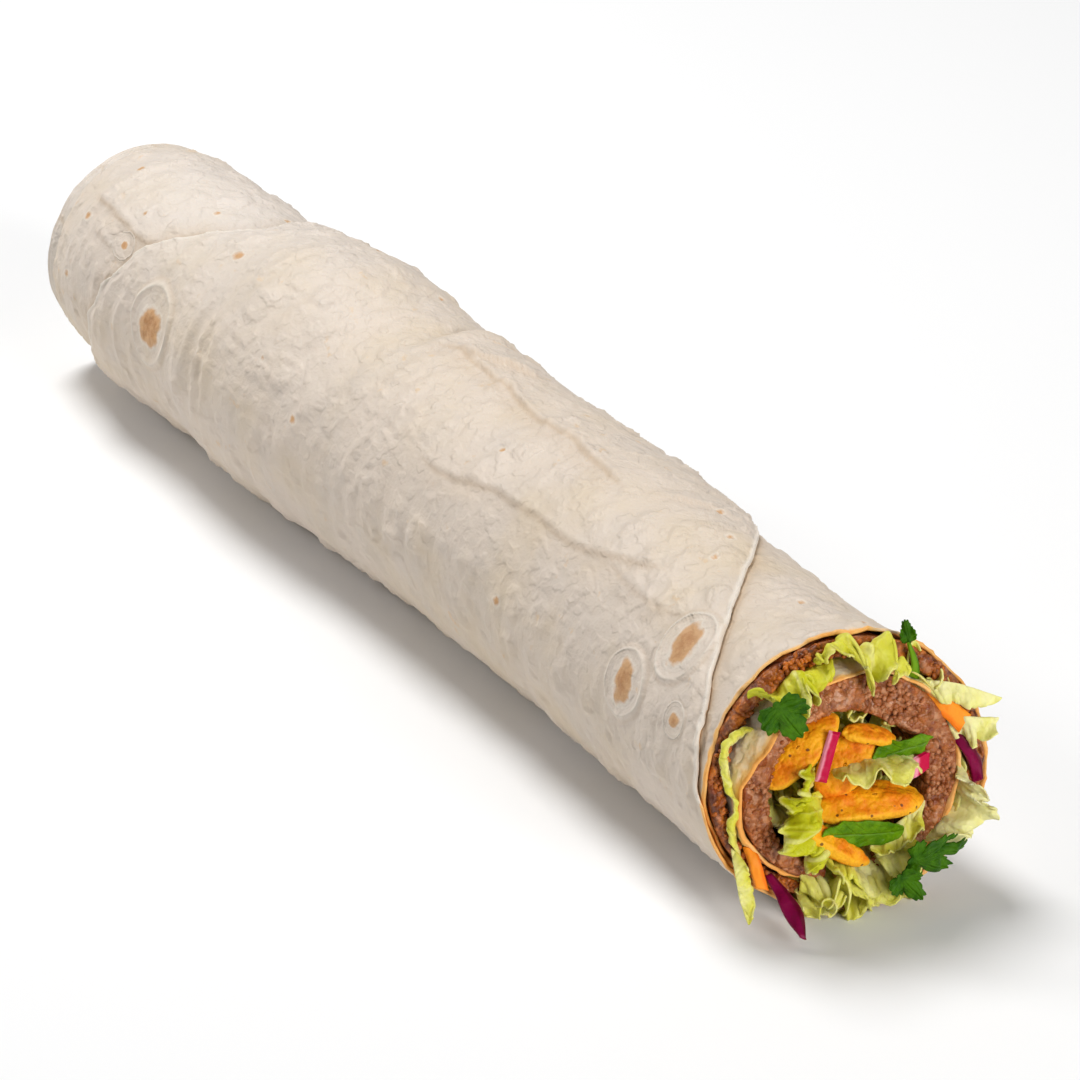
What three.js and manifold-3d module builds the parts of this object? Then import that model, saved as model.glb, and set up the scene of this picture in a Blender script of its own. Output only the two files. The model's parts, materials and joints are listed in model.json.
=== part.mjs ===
// A cig kofte wrap: a sheet of flatbread rolled round spiced bulgur paste and salad, open at one end.
// Millimetres and degrees. X runs along the roll to its open end, Z is up, and it rests on z = 0.
// A winding angle is counted from +Y over the top, as seen from the open end. It grows inwards from
// the sheet's free outer end, so two turns of the sheet at one side differ by 360.

import * as THREE from 'three';
import { mergeVertices } from 'three/addons/utils/BufferGeometryUtils.js';
import Module from 'manifold-3d';

const wasm = await Module();
wasm.setup();

// ---- Driving dimensions ----

const SHEET = 1.1; // thickness of the flatbread
const GAP = 0.35; // clearance between neighbours
const TURN = 15; // angular step of the windings
const FLAT = 0.5; // depth of the flat strip that the roll rests on
const FINENESS = 0.06; // corners closer than this to a flat face are left out
const BELLY = 25.3; // radius of the section at its lowest side
const FULL_TURN = 360;

const SHEET_SPAN = [30, 990]; // winding angles where the sheet begins and ends
const KOFTE_SPAN = [270, 975];
const SALAD_SPAN = [300, 630];
const CORE_SPAN = [645, 990];
const CAP_SPAN = [270, 615];

const FAR_END = -128; // where the windings meet the tucked end
const CAP_DEPTH = 3; // how far the tucked end bulges past that

// The open end is a slanted plane: its centre, and its slope towards +Z and -Y.
const MOUTH = { x: 125.9, y: -1.4, z: 24.2, slopeY: 0.165, slopeZ: -0.16 };

// Along the roll: x, girth as a share of the nominal section, sideways shift.
const STATIONS = [
  [FAR_END, 0.9, 1.8],
  [-114, 0.985, 0.1],
  [-80, 0.97, 0],
  [-46, 1.035, 0.3],
  [-20, 0.972, 0.5],
  [50, 0.975, 1.2],
  [116, 0.985, -1.2],
  [134, 1.055, -2],
];

// Outer radius of the sheet at each winding angle: flap, outer turn, step inwards, inner turn.
const WINDING = [
  [30, 26], [45, 25.6], [90, 25.1], [140, 24.9], [200, 24.7], [250, 25.1], [300, 25.5], [345, 25.5],
  [380, 24.6], [405, 24.05], [450, 23.5], [500, 23.3], [560, 23.1], [600, 22.7], [640, 21.5], [675, 19.8],
  [705, 18.3], [740, 17.2], [800, 16.7], [860, 16.9], [920, 16.7], [1000, 16.7],
];

// Thickness of the bulgur paste at each winding angle.
const KOFTE = [
  [270, 1], [300, 1.9], [345, 2.7], [405, 2.9], [450, 3.1], [500, 2.6], [560, 2.4], [620, 3.4],
  [690, 4], [730, 4.4], [770, 5.8], [830, 5.6], [880, 4.2], [930, 4.2], [975, 4.6],
];

// The flap's curved edges: winding angle, x at the tucked end's side, x at the open end's side.
const BEYOND = 200;
const FLAP = [
  [30, -64, 54], [45, -73, 68], [62, -77, 80], [90, -75.5, 95], [120, -82, 107], [150, -94.5, 115.5],
  [180, -103.5, 119.5], [204, -108, 132], [240, -119, BEYOND], [264, FAR_END, BEYOND],
];

// How far each turn stands out of the mouth plane.
const SHEET_OUT = [[30, 0], [600, 0], [700, 1.8], [780, 2.4], [990, 2.2]];
const KOFTE_OUT = [[270, -1], [560, -0.8], [640, 0.4], [720, 1.8], [975, 1.8]];
const SALAD_OUT = [[300, 1], [350, 2.4], [400, 0.6], [450, 1.8], [500, 0.8], [550, 2], [600, 1.2], [630, 2]];
const CORE_OUT = -1.5;

// Salad, placed in the mouth's own frame. A point is [right, up, out], seen from outside, and each
// leaf or strip is a surface through a few lines of such points.
const CHIPS = [
  { at: [-7.7, 6, 1.4], size: [16, 9, 2.2], turn: 37, lean: 56, bow: 0.5 },
  { at: [0.2, 1.8, 1.6], size: [13.5, 9.5, 2.2], turn: 46, lean: 32, bow: 0.6 },
  { at: [4.6, 6.8, 2.4], size: [10, 7, 1.8], turn: -25, lean: 74, bow: 0.3 },
  { at: [3.6, -5, 3.4], size: [20, 12, 2.4], turn: 3, lean: 70, bow: 0.9 },
  { at: [-3.5, -10.4, 4.4], size: [15, 7, 2.2], turn: -41, lean: 68, bow: 0.6 },
];

const STRIPS = {
  radish_stick_1: { thick: 2, lines: [[[-6.6, 1.2, 4.6], [-3.6, 9.4, 4.4]], [[-4.3, 0.6, 5], [-1.6, 8.8, 4.6]]] },
  radish_stick_2: { thick: 1.8, lines: [[[11.6, -2.6, 3], [12, 1, 3]], [[15, -1.5, 2.6], [15.2, 1.6, 2.6]]] },
  carrot_strip_1: {
    thick: 1.6,
    lines: [[[-18.6, -9, 1.5], [-17.6, -14, 2.5], [-16.4, -18.4, 3]], [[-16.4, -9, 1], [-15.2, -13, 3], [-14, -17.4, 3.4]]],
  },
  carrot_strip_2: {
    thick: 1.5,
    lines: [[[15.6, 11, 1], [19.4, 9.8, 2.8], [22.8, 6.4, 3]], [[15.4, 8.6, 1], [18, 7, 3], [20.6, 3.8, 3]]],
  },
  cabbage_strip_1: {
    thick: 1.1,
    lines: [
      [[-15.4, -15.4, 1], [-13, -19.4, 3], [-11.6, -22.2, 5], [-12.4, -24, 8]],
      [[-14.4, -15, 1], [-10, -18.6, 3.4], [-8.2, -22.2, 4], [-11.2, -24.2, 8.6]],
    ],
  },
  cabbage_strip_2: {
    thick: 1.1,
    lines: [
      [[19.4, 2.8, 0.5], [22, -1.6, 2], [24.4, -4.6, 2.4], [25, -7.4, 2]],
      [[21, 3.4, 0.5], [24.2, 0.4, 2.6], [26.6, -3.8, 2.8], [26.4, -6.8, 2]],
    ],
  },
  parsley_stem: {
    thick: 1.1,
    lines: [[[12.6, 15.4, 1], [12.4, 19, 3], [12.2, 23.6, 3]], [[15, 15, 1], [14.4, 19, 3], [13.2, 23.2, 3]]],
  },
};

const LEAVES = {
  lettuce_leaf_1: {
    wave: 0.7, ripples: 2,
    lines: [[[-13, 13, -5], [-8, 16, -5], [-1, 18, -5]], [[-15.6, 17, 3], [-9, 19.2, 3.6], [-2, 20.4, 3]],
      [[-14.6, 14, 5.4], [-8, 13.4, 6.6], [-2.6, 14.4, 6]]],
  },
  lettuce_leaf_2: {
    wave: 0.8, ripples: 2,
    lines: [[[-1, 18, -5], [5, 17.2, -5], [11, 14, -5]], [[-4.4, 21.2, 3.4], [4, 23.4, 4.2], [11.4, 19.4, 4]],
      [[-0.6, 17.2, 5.6], [5, 15.4, 7], [13.6, 12, 5.4]]],
  },
  lettuce_leaf_3: {
    wave: 0.6, ripples: 2,
    lines: [[[-17.8, 9, -5], [-19.2, 2, -5], [-18.8, -5, -5], [-17.2, -10, -5]],
      [[-21.2, 11.2, 3], [-21.6, 3, 3.4], [-21.2, -5, 3.6], [-20.4, -11.4, 4]]],
  },
  lettuce_leaf_4: {
    wave: 0.5, ripples: 1,
    lines: [[[-20.8, -9, 1], [-21.4, -13, 3.2], [-21, -17, 3.4], [-19.4, -22, 2.6]],
      [[-18.6, -9.4, 1.6], [-18, -13.4, 4.6], [-17.4, -17, 4.6], [-18, -21.4, 3.2]]],
  },
  lettuce_leaf_5: {
    wave: 0.6, ripples: 2,
    lines: [[[-12, -15.6, -5], [-7, -18.2, -5], [-2, -19.4, -5]], [[-13.2, -17.4, 3.6], [-8, -20.8, 4.2], [-3, -22, 4]]],
  },
  lettuce_leaf_6: {
    wave: 1, ripples: 2,
    lines: [[[-2, -15.6, -2], [3, -17, -3], [9, -16, -3]], [[-4, -18.6, 5.6], [1.6, -20, 6.4], [9, -18.4, 6]],
      [[-3.6, -22, 5], [1.6, -23.4, 5.4], [8, -22.8, 5]]],
  },
  lettuce_leaf_7: {
    wave: 0.6, ripples: 2,
    lines: [[[13, 13.4, 0], [20, 12.4, 3.4], [28.2, 8.2, 3.2]], [[14, 9.2, 0.4], [20.4, 8.6, 4.6], [27.2, 6.2, 3.6]]],
  },
  lettuce_leaf_8: {
    wave: 0.6, ripples: 2,
    lines: [[[17.4, 7, 0.4], [22, 6.2, 3.6], [27, 5, 3.4]], [[18.4, 3.6, 0.4], [22.4, 1.4, 4.2], [26, 1.6, 3.6]]],
  },
  lettuce_leaf_9: {
    wave: 0.9, ripples: 2,
    lines: [[[19.6, -2, -3], [18.6, -8, -3], [13.4, -14.4, -3]], [[22.4, -3.6, 2.6], [22.6, -9, 3.6], [17.4, -15.6, 4]],
      [[24, -5.4, 3.4], [25.8, -10.6, 4.4], [24, -18.2, 4.4]]],
  },
  lettuce_leaf_10: {
    wave: 1.1, ripples: 1,
    lines: [[[-12.6, -3.4, 1.6], [-12.2, -9, 1.6], [-7.6, -14.6, 1.6]], [[-10.4, -3, 5], [-9, -8.6, 6], [-6, -14, 5.6]],
      [[-7.6, -0.6, 3], [-5.8, -6, 4], [-4.6, -12.8, 3]]],
  },
  lettuce_leaf_11: {
    wave: 1.2, ripples: 2,
    lines: [[[-1, 1.6, 0.6], [5, 2.6, 0.6], [12, 1.2, 0.6]], [[-2.2, -0.4, 5.4], [5, 1.4, 6.4], [12.4, -0.6, 5.4]],
      [[-3, -2.6, 7], [5, -1.4, 8.4], [13, -2.8, 7]]],
  },
  lettuce_leaf_12: {
    wave: 0.7, ripples: 2,
    lines: [[[5, -12, 2], [9, -10, 3], [13, -7.6, 3]], [[2.6, -15.6, 4.6], [8.6, -14.6, 5.2], [12.6, -12.6, 4.6]]],
  },
};

// Flat herb leaves: lobes round the outline and how deep they are cut.
const HERBS = {
  green_leaf_1: { at: [9.8, 2.9, 3], size: [12.5, 5.4], turn: 8, lean: -25, lobes: 2, cut: 0.12 },
  green_leaf_2: { at: [2.2, -10, 5.8], size: [13.5, 5.6], turn: -10, lean: -22, lobes: 2, cut: 0.1 },
  parsley_leaf_1: { at: [-10.6, 13.4, 8], size: [10, 10.4], turn: -60, lean: -14, lobes: 5, cut: 0.4 },
  parsley_leaf_2: { at: [14, -16, 7], size: [14, 8.4], turn: -4, lean: -18, lobes: 7, cut: 0.36 },
  parsley_leaf_3: { at: [8.6, -20.2, 7.6], size: [8.6, 6.4], turn: -38, lean: -14, lobes: 5, cut: 0.38 },
  parsley_leaf_4: { at: [12.8, 26.4, 3.2], size: [4.6, 4], turn: 100, lean: 20, lobes: 4, cut: 0.3 },
};

const LETTUCE_THICK = 1.2;
const HERB_THICK = 0.8;

// ---- Materials ----

const finish = (color, roughness) => new THREE.MeshStandardMaterial({ color, roughness, metalness: 0 });

const FINISHES = {
  lavash: finish(0xe9ddcd, 0.8),
  kofte: finish(0x9c5232, 0.55),
  lettuce: finish(0xcfd777, 0.5),
  chip: finish(0xee9a1f, 0.65),
  radish: finish(0xd0185c, 0.3),
  carrot: finish(0xf58c2c, 0.4),
  cabbage: finish(0x8a1272, 0.35),
  herb: finish(0x2f7d17, 0.45),
};

// ---- Section of the roll ----

/** A smooth function through rows of [place, value, ...]; it stays level past both ends. */
function smooth(rows) {
  const places = rows.map((row) => row[0]);
  const curve = new THREE.CubicInterpolant(places, rows.flatMap((row) => row.slice(1)), rows[0].length - 1);
  return (place) => [...curve.evaluate(place)];
}

/** The same with straight stretches between the rows. */
function straight(rows) {
  const places = rows.map((row) => row[0]);
  const line = new THREE.LinearInterpolant(places, rows.flatMap((row) => row.slice(1)), rows[0].length - 1);
  return (place) => [...line.evaluate(place)];
}

const sectionAt = straight(STATIONS);
const windingAt = smooth(WINDING);
const kofteAt = smooth(KOFTE);
const flapAt = straight(FLAP);

const sheetOuter = (angle) => windingAt(angle)[0];
const sheetInner = (angle) => sheetOuter(angle) - SHEET;
const kofteOuter = (angle) => sheetInner(angle) - GAP;
const kofteInner = (angle) => kofteOuter(angle) - kofteAt(angle)[0];
const saladOuter = (angle) => kofteInner(angle) - GAP;
const saladInner = (angle) => sheetOuter(angle + FULL_TURN) + GAP;

/** The point at a winding angle and a nominal radius, carried along the roll to x. */
function onRoll(angle, radius, x) {
  const [girth, shift] = sectionAt(x);
  const turned = THREE.MathUtils.degToRad(angle);
  const y = shift + girth * radius * Math.cos(turned);
  const z = girth * (BELLY + radius * Math.sin(turned)) - FLAT;
  return new THREE.Vector3(x, y, z);
}

/** The x where the mouth plane, moved out by a distance, cuts the line at that angle and radius. */
function mouthX(angle, radius, out) {
  let x = MOUTH.x;
  for (let pass = 0; pass < 4; pass++) {
    const point = onRoll(angle, radius, x);
    x = MOUTH.x + out + MOUTH.slopeY * (point.y - MOUTH.y) + MOUTH.slopeZ * (point.z - MOUTH.z);
  }
  return x;
}

/** The x of every station between two ends, with those ends in place of the stations past them. */
function stationsBetween(far, near) {
  const inside = STATIONS.slice(0, -1).map(([x]) => THREE.MathUtils.clamp(x, far, near));
  return [...inside, near];
}

// ---- Solids ----

/** A closed solid between two grids of points, grid[i][j]. */
function slab(front, back) {
  const rows = front.length;
  const columns = front[0].length;
  const id = ([i, j], side) => side * rows * columns + i * columns + j;
  const faces = [];
  const quad = (a, b, c, d) => faces.push(a, b, c, a, c, d);
  for (let i = 0; i < rows - 1; i++) {
    for (let j = 0; j < columns - 1; j++) {
      const corners = [[i, j], [i + 1, j], [i + 1, j + 1], [i, j + 1]];
      quad(...corners.map((corner) => id(corner, 0)));
      quad(...corners.reverse().map((corner) => id(corner, 1)));
    }
  }
  const border = [];
  for (let i = 0; i < rows - 1; i++) border.push([i, 0]);
  for (let j = 0; j < columns - 1; j++) border.push([rows - 1, j]);
  for (let i = rows - 1; i > 0; i--) border.push([i, columns - 1]);
  for (let j = columns - 1; j > 0; j--) border.push([0, j]);
  border.forEach((corner, k) => {
    const next = border[(k + 1) % border.length];
    quad(id(next, 0), id(corner, 0), id(corner, 1), id(next, 1));
  });
  return solid(meshOf([...front.flat(), ...back.flat()], faces));
}

/** A closed solid through rings of points, with a fan to the middle at each end. */
function loft(rings) {
  const around = rings[0].length;
  const middle = (ring) => ring.reduce((sum, point) => sum.add(point), new THREE.Vector3()).divideScalar(around);
  const points = [...rings.flat(), middle(rings[0]), middle(rings.at(-1))];
  const first = rings.length * around;
  const faces = [];
  for (let k = 0; k < around; k++) {
    const next = (k + 1) % around;
    for (let ring = 0; ring < rings.length - 1; ring++) {
      const low = ring * around;
      const high = low + around;
      faces.push(low + k, low + next, high + next, low + k, high + next, high + k);
    }
    const top = first - around;
    faces.push(first, next, k, first + 1, top + k, top + next);
  }
  return solid(meshOf(points, faces));
}

function meshOf(points, faces) {
  const geometry = new THREE.BufferGeometry().setFromPoints(points);
  geometry.setIndex(faces);
  return geometry;
}

/** The manifold solid of a closed geometry, turned outside out if its faces point inwards. */
function solid(geometry) {
  geometry.deleteAttribute('normal');
  geometry.deleteAttribute('uv');
  const merged = mergeVertices(geometry, 1e-4);
  const corners = [...merged.index.array];
  const faces = [];
  for (let k = 0; k < corners.length; k += 3) {
    const [a, b, c] = corners.slice(k, k + 3);
    if (a !== b && b !== c && c !== a) faces.push(a, b, c);
  }
  const vertProperties = new Float32Array(merged.attributes.position.array);
  const build = (triVerts) => new wasm.Manifold(new wasm.Mesh({ numProp: 3, vertProperties, triVerts }));
  const made = build(new Uint32Array(faces));
  return made.volume() > 0 ? made : build(new Uint32Array(faces.reverse()));
}

function geometryOf(shape) {
  const { vertProperties, triVerts } = shape.getMesh();
  const geometry = new THREE.BufferGeometry();
  geometry.setAttribute('position', new THREE.BufferAttribute(new Float32Array(vertProperties), 3));
  geometry.setIndex(new THREE.BufferAttribute(new Uint32Array(triVerts), 1));
  return geometry;
}

/** The largest separate body of a solid. */
function largest(shape) {
  return shape.decompose().reduce((best, body) => (body.volume() > best.volume() ? body : best));
}

/** A layer that follows the windings; grow fattens it on all sides. */
function layer(span, outer, inner, endsAt, grow = 0) {
  const angles = [];
  for (let angle = span[0]; angle <= span[1]; angle += TURN) angles.push(angle);
  const side = (radiusAt) => angles.map((angle) => {
    const radius = radiusAt(angle);
    const [far, near] = endsAt(angle, radius);
    return stationsBetween(far, near + grow).map((x) => onRoll(angle, radius, x));
  });
  return slab(side((angle) => outer(angle) + grow), side((angle) => inner(angle) - grow));
}

// ---- The flatbread ----

const sheetOutAt = straight(SHEET_OUT);

function sheetEnds(angle, radius) {
  const rim = mouthX(angle, radius, sheetOutAt(angle)[0]);
  if (angle > FLAP.at(-1)[0]) return [FAR_END, rim];
  const [far, near] = flapAt(angle);
  return [far, Math.min(near, rim)];
}

/** The end that is tucked in: a shallow dome with a dimple, joined to every winding. */
function tuckedEnd() {
  const profile = [[1, 0.955], [-0.4, 0.985], [-0.5 * CAP_DEPTH, 0.94], [-CAP_DEPTH, 0.76], [-0.7 * CAP_DEPTH, 0.3]];
  const angles = [];
  for (let angle = CAP_SPAN[0]; angle <= CAP_SPAN[1]; angle += TURN) angles.push(angle);
  return loft(profile.map(([out, share]) => angles.map((angle) => {
    const point = onRoll(angle, share * sheetOuter(angle), FAR_END);
    return point.setX(FAR_END + out);
  })));
}

function flatbread() {
  const rolled = layer(SHEET_SPAN, sheetOuter, sheetInner, sheetEnds).add(tuckedEnd());
  const under = solid(new THREE.BoxGeometry(400, 100, 20).translate(0, 0, -10));
  return largest(rolled.subtract(under));
}

// ---- The filling that runs through the roll ----

const FILLING_END = FAR_END + 1 + GAP;

function endsWith(outRows) {
  const outAt = straight(outRows);
  return (angle, radius) => [FILLING_END, mouthX(angle, radius, outAt(angle)[0])];
}

const kofte = (grow) => layer(KOFTE_SPAN, kofteOuter, kofteInner, endsWith(KOFTE_OUT), grow);
const saladLayer = (grow) => layer(SALAD_SPAN, saladOuter, saladInner, endsWith(SALAD_OUT), grow);

/** The salad in the middle, inside the paste's inner turn. */
function saladCore(grow) {
  const angles = [];
  for (let angle = CORE_SPAN[0]; angle <= CORE_SPAN[1]; angle += TURN) angles.push(angle);
  const outline = angles.map((angle) => [angle, saladOuter(Math.min(angle, KOFTE_SPAN[1])) + grow]);
  const rows = STATIONS.length;
  const rings = [];
  for (let row = 0; row < rows; row++) {
    rings.push(outline.map(([angle, radius]) => {
      const stations = stationsBetween(FILLING_END, mouthX(angle, radius, CORE_OUT + grow));
      return onRoll(angle, radius, stations[row]);
    }));
  }
  return loft(rings);
}

// ---- Pieces at the open end ----

const mouthNormal = new THREE.Vector3(1, -MOUTH.slopeY, -MOUTH.slopeZ).normalize();
const mouthTurn = new THREE.Quaternion().setFromUnitVectors(new THREE.Vector3(1, 0, 0), mouthNormal);
const mouthFrame = new THREE.Matrix4().compose(
  new THREE.Vector3(MOUTH.x, MOUTH.y, MOUTH.z), mouthTurn, new THREE.Vector3(1, 1, 1),
);

const fromMouth = ([right, up, out]) => new THREE.Vector3(out, right, up).applyMatrix4(mouthFrame);

/** A sheet of even thickness through lines of points, with ripples that grow towards the last line. */
function frill({ lines, thick = LETTUCE_THICK, wave = 0, ripples = 0 }, grow = 0) {
  const along = Math.max(4, 2 * ripples + 2);
  const across = lines.length;
  const curves = lines.map((line) => new THREE.CatmullRomCurve3(line.map(fromMouth)));
  const place = (s, t) => new THREE.CatmullRomCurve3(curves.map((curve) => curve.getPoint(s))).getPoint(t);
  const normal = (s, t) => {
    const step = 0.02;
    const alongS = place(Math.min(1, s + step), t).sub(place(Math.max(0, s - step), t));
    const alongT = place(s, Math.min(1, t + step)).sub(place(s, Math.max(0, t - step)));
    return alongS.cross(alongT).normalize();
  };
  const side = (offset) => range(along).map((s) => range(across).map((t) => {
    const ripple = wave * t * Math.sin(2 * Math.PI * ripples * s);
    return place(s, t).addScaledVector(normal(s, t), ripple + offset);
  }));
  const half = thick / 2 + grow;
  const front = side(half);
  const back = side(-half);
  if (grow > 0) [front, back].forEach((grid) => widen(grid, grow));
  return slab(front, back);
}

const range = (count) => Array.from({ length: count + 1 }, (_, k) => k / count);

/** Moves the border of a grid of points outwards by a distance. */
function widen(grid, distance) {
  const push = (edge, inside) => edge.addScaledVector(edge.clone().sub(inside).normalize(), distance);
  for (const row of grid) {
    push(row[0], row[1]);
    push(row.at(-1), row.at(-2));
  }
  grid[0].forEach((point, j) => push(point, grid[1][j]));
  grid.at(-1).forEach((point, j) => push(point, grid.at(-2)[j]));
}

/** Carries a geometry that lies in XY to a place in the mouth's frame, turned and leaned back. */
function settle(geometry, { at, turn, lean }) {
  geometry.rotateX(THREE.MathUtils.degToRad(-lean));
  geometry.rotateZ(THREE.MathUtils.degToRad(turn));
  const [right, up, out] = at;
  const facing = new THREE.Matrix4().makeBasis(
    new THREE.Vector3(0, 1, 0), new THREE.Vector3(0, 0, 1), new THREE.Vector3(1, 0, 0),
  );
  geometry.applyMatrix4(facing).translate(out, right, up);
  return solid(geometry.applyMatrix4(mouthFrame));
}

/** A bowed oval chip with rounded edges. */
function chip({ at, size: [length, width, thick], turn, lean, bow }, grow = 0) {
  const half = thick / 2 + grow;
  const profile = [[0, -half], [0.82, -half], [1, -0.35 * half], [1, 0.35 * half], [0.82, half], [0, half]];
  const oval = new THREE.LatheGeometry(profile.map(([r, h]) => new THREE.Vector2(r, h)), 12);
  oval.rotateX(Math.PI / 2).scale(length / 2 + grow, width / 2 + grow, 1);
  const spots = oval.attributes.position;
  for (let k = 0; k < spots.count; k++) {
    spots.setZ(k, spots.getZ(k) - bow * ((2 * spots.getX(k)) / length) ** 2);
  }
  return settle(oval, { at, turn, lean });
}

/** A thin leaf whose oval outline is cut into pointed lobes. */
function herb({ at, size: [length, width], turn, lean, lobes, cut }, grow = 0) {
  const steps = lobes > 2 ? 4 * lobes : 16;
  const outline = range(steps).slice(0, -1).map((share) => {
    const angle = 2 * Math.PI * share;
    const lobe = 1 - cut * Math.abs(Math.sin((lobes * angle) / 2)) ** 0.8;
    const reach = lobe * (1 - 0.4 * cut * (1 - Math.cos(angle)));
    return new THREE.Vector2(
      (length / 2 + grow) * reach * Math.cos(angle), (width / 2 + grow) * reach * Math.sin(angle),
    );
  });
  const depth = HERB_THICK + 2 * grow;
  const plate = new THREE.ExtrudeGeometry(new THREE.Shape(outline), { depth, bevelEnabled: false });
  return settle(plate.translate(0, 0, -depth / 2), { at, turn, lean });
}

// ---- Assembly ----

const wrap = new THREE.Group();
const taken = []; // what stands already, each with its clearance

/** Adds a sub-part, cut back from everything that stands already. */
function add(name, finishName, shape, withClearance) {
  const clear = taken.reduce((rest, other) => rest.subtract(other), shape);
  const mesh = new THREE.Mesh(geometryOf(largest(clear.simplify(FINENESS))), FINISHES[finishName]);
  mesh.name = name;
  wrap.add(mesh);
  taken.push(...withClearance);
}

// The sheet's clearance is taken turn by turn, because its turns lie closer than twice the gap.
const outerTurn = [195, 600];
const innerTurn = [600, SHEET_SPAN[1]];
const sheetClearance = [outerTurn, innerTurn].map((span) => layer(span, sheetOuter, sheetInner, sheetEnds, GAP));

add('lavash', 'lavash', flatbread(), sheetClearance);
CHIPS.forEach((chipSpec, k) => add(`corn_chip_${k + 1}`, 'chip', chip(chipSpec), [chip(chipSpec, GAP)]));
for (const [name, strip] of Object.entries(STRIPS)) {
  const kind = name.split('_')[0];
  add(name, kind === 'parsley' ? 'herb' : kind, frill(strip), [frill(strip, GAP)]);
}
add('kofte', 'kofte', kofte(0), [kofte(GAP)]);
add('lettuce_layer', 'lettuce', saladLayer(0), [saladLayer(GAP)]);
add('lettuce_core', 'lettuce', saladCore(0), [saladCore(GAP)]);
for (const [name, leaf] of Object.entries(HERBS)) add(name, 'herb', herb(leaf), [herb(leaf, GAP)]);
for (const [name, leaf] of Object.entries(LEAVES)) add(name, 'lettuce', frill(leaf), [frill(leaf, GAP)]);

// The origin is under the middle of the whole, on the surface that it rests on.
const reach = new THREE.Box3().setFromObject(wrap);
const middle = reach.getCenter(new THREE.Vector3());
wrap.position.set(-middle.x, -middle.y, -reach.min.z);

export default wrap;
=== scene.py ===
"""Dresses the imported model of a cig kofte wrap: a rolled flatbread with bulgur paste, salad, herbs,
chips and pickles at its open end.

Shapes are worked out in millimetres in the roll's own frame: X runs along the roll to its open end,
Z is up and the floor is z = 0. A winding angle is counted in degrees from +Y over the top, as seen
from the open end, and grows inwards from the sheet's free outer end, so two turns of the sheet at
one side differ by 360.
"""

import itertools
import json
import math

import bpy
import numpy as np
from bpy.props import FloatProperty, FloatVectorProperty, IntProperty, PointerProperty
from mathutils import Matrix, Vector


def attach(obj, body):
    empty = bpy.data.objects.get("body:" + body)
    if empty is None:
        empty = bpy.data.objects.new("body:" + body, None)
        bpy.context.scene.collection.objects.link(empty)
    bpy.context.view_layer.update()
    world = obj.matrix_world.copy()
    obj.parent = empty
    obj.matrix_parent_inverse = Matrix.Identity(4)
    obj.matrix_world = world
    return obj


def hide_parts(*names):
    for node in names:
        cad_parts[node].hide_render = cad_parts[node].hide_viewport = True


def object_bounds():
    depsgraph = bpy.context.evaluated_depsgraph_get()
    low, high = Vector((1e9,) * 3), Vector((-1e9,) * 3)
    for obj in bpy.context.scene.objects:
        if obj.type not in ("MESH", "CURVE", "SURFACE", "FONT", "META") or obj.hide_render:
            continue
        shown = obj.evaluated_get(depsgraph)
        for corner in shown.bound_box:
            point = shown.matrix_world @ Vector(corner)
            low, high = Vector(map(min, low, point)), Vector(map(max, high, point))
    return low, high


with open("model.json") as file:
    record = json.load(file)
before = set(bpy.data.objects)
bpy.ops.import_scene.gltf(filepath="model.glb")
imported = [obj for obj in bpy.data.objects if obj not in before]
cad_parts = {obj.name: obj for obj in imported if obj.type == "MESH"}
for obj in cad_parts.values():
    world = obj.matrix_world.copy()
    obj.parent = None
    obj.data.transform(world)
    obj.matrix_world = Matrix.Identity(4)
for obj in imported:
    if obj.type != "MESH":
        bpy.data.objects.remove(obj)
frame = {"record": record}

bl_info = {
    "name": "Cig kofte wrap",
    "version": (1, 0, 0),
    "blender": (4, 5, 0),
    "location": "View3D > Sidebar > Wrap",
    "description": "Dresses a rolled wrap with flatbread, bulgur paste, salad, herbs and chips",
    "category": "Object",
}

MM = 0.001
ORIGIN = np.array(frame["record"]["mounts"][0]["pos_m"]) / MM  # of the roll's own frame
CAD_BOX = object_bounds()

# ---- The roll, in millimetres and degrees ----

SHEET = 1.1  # thickness of the flatbread
GAP = 0.35  # clearance between neighbours
FLAT = 0.5  # depth of the flat strip that the roll rests on
BELLY = 25.3  # radius of the section at its lowest side
BODY = 25.0  # radius that the flatbread's surface patterns are laid out on
ARC = BODY * math.pi / 180  # length of one degree at that radius
FULL_TURN = 360
FAR_END = -128

# The open end is a slanted plane: its centre, and its slope towards +Z and -Y.
MOUTH = np.array([125.9, -1.4, 24.2])
SLOPE_Y = 0.165
SLOPE_Z = -0.16
MOUTH_STEPS = 4  # steps that settle where the plane cuts a line along the roll

# Along the roll: girth as a share of the nominal section, and the sideways shift.
GIRTH = [
    (-130.4, 0.8), (-129.6, 0.86), (-127.6, 0.912), (-122, 0.95), (-112, 0.978), (-98, 0.982),
    (-80, 0.966), (-62, 1.0), (-46, 1.03), (-30, 0.992), (-18, 0.972), (8, 0.964), (34, 0.966),
    (60, 0.978), (80, 0.972), (104, 0.976), (118, 0.99), (128, 1.028), (136, 1.06),
]
SHIFT = [
    (-128, 1.8), (-114, 0.1), (-80, 0), (-46, 0.3), (-20, 0.5), (50, 1.2), (104, -0.8), (118, -1.6),
    (130, -2.4),
]
# Towards the mouth the section spreads sideways.
SPREAD = [(100, 1), (112, 1.006), (126, 1.04), (134, 1.05)]

# Winding angles where the sheet's lengths meet: the flap, the outer turn and the inner turn.
FLAP_START, FLAP_END, INNER_START, SHEET_END = 30, 300, 600, 990

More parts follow.
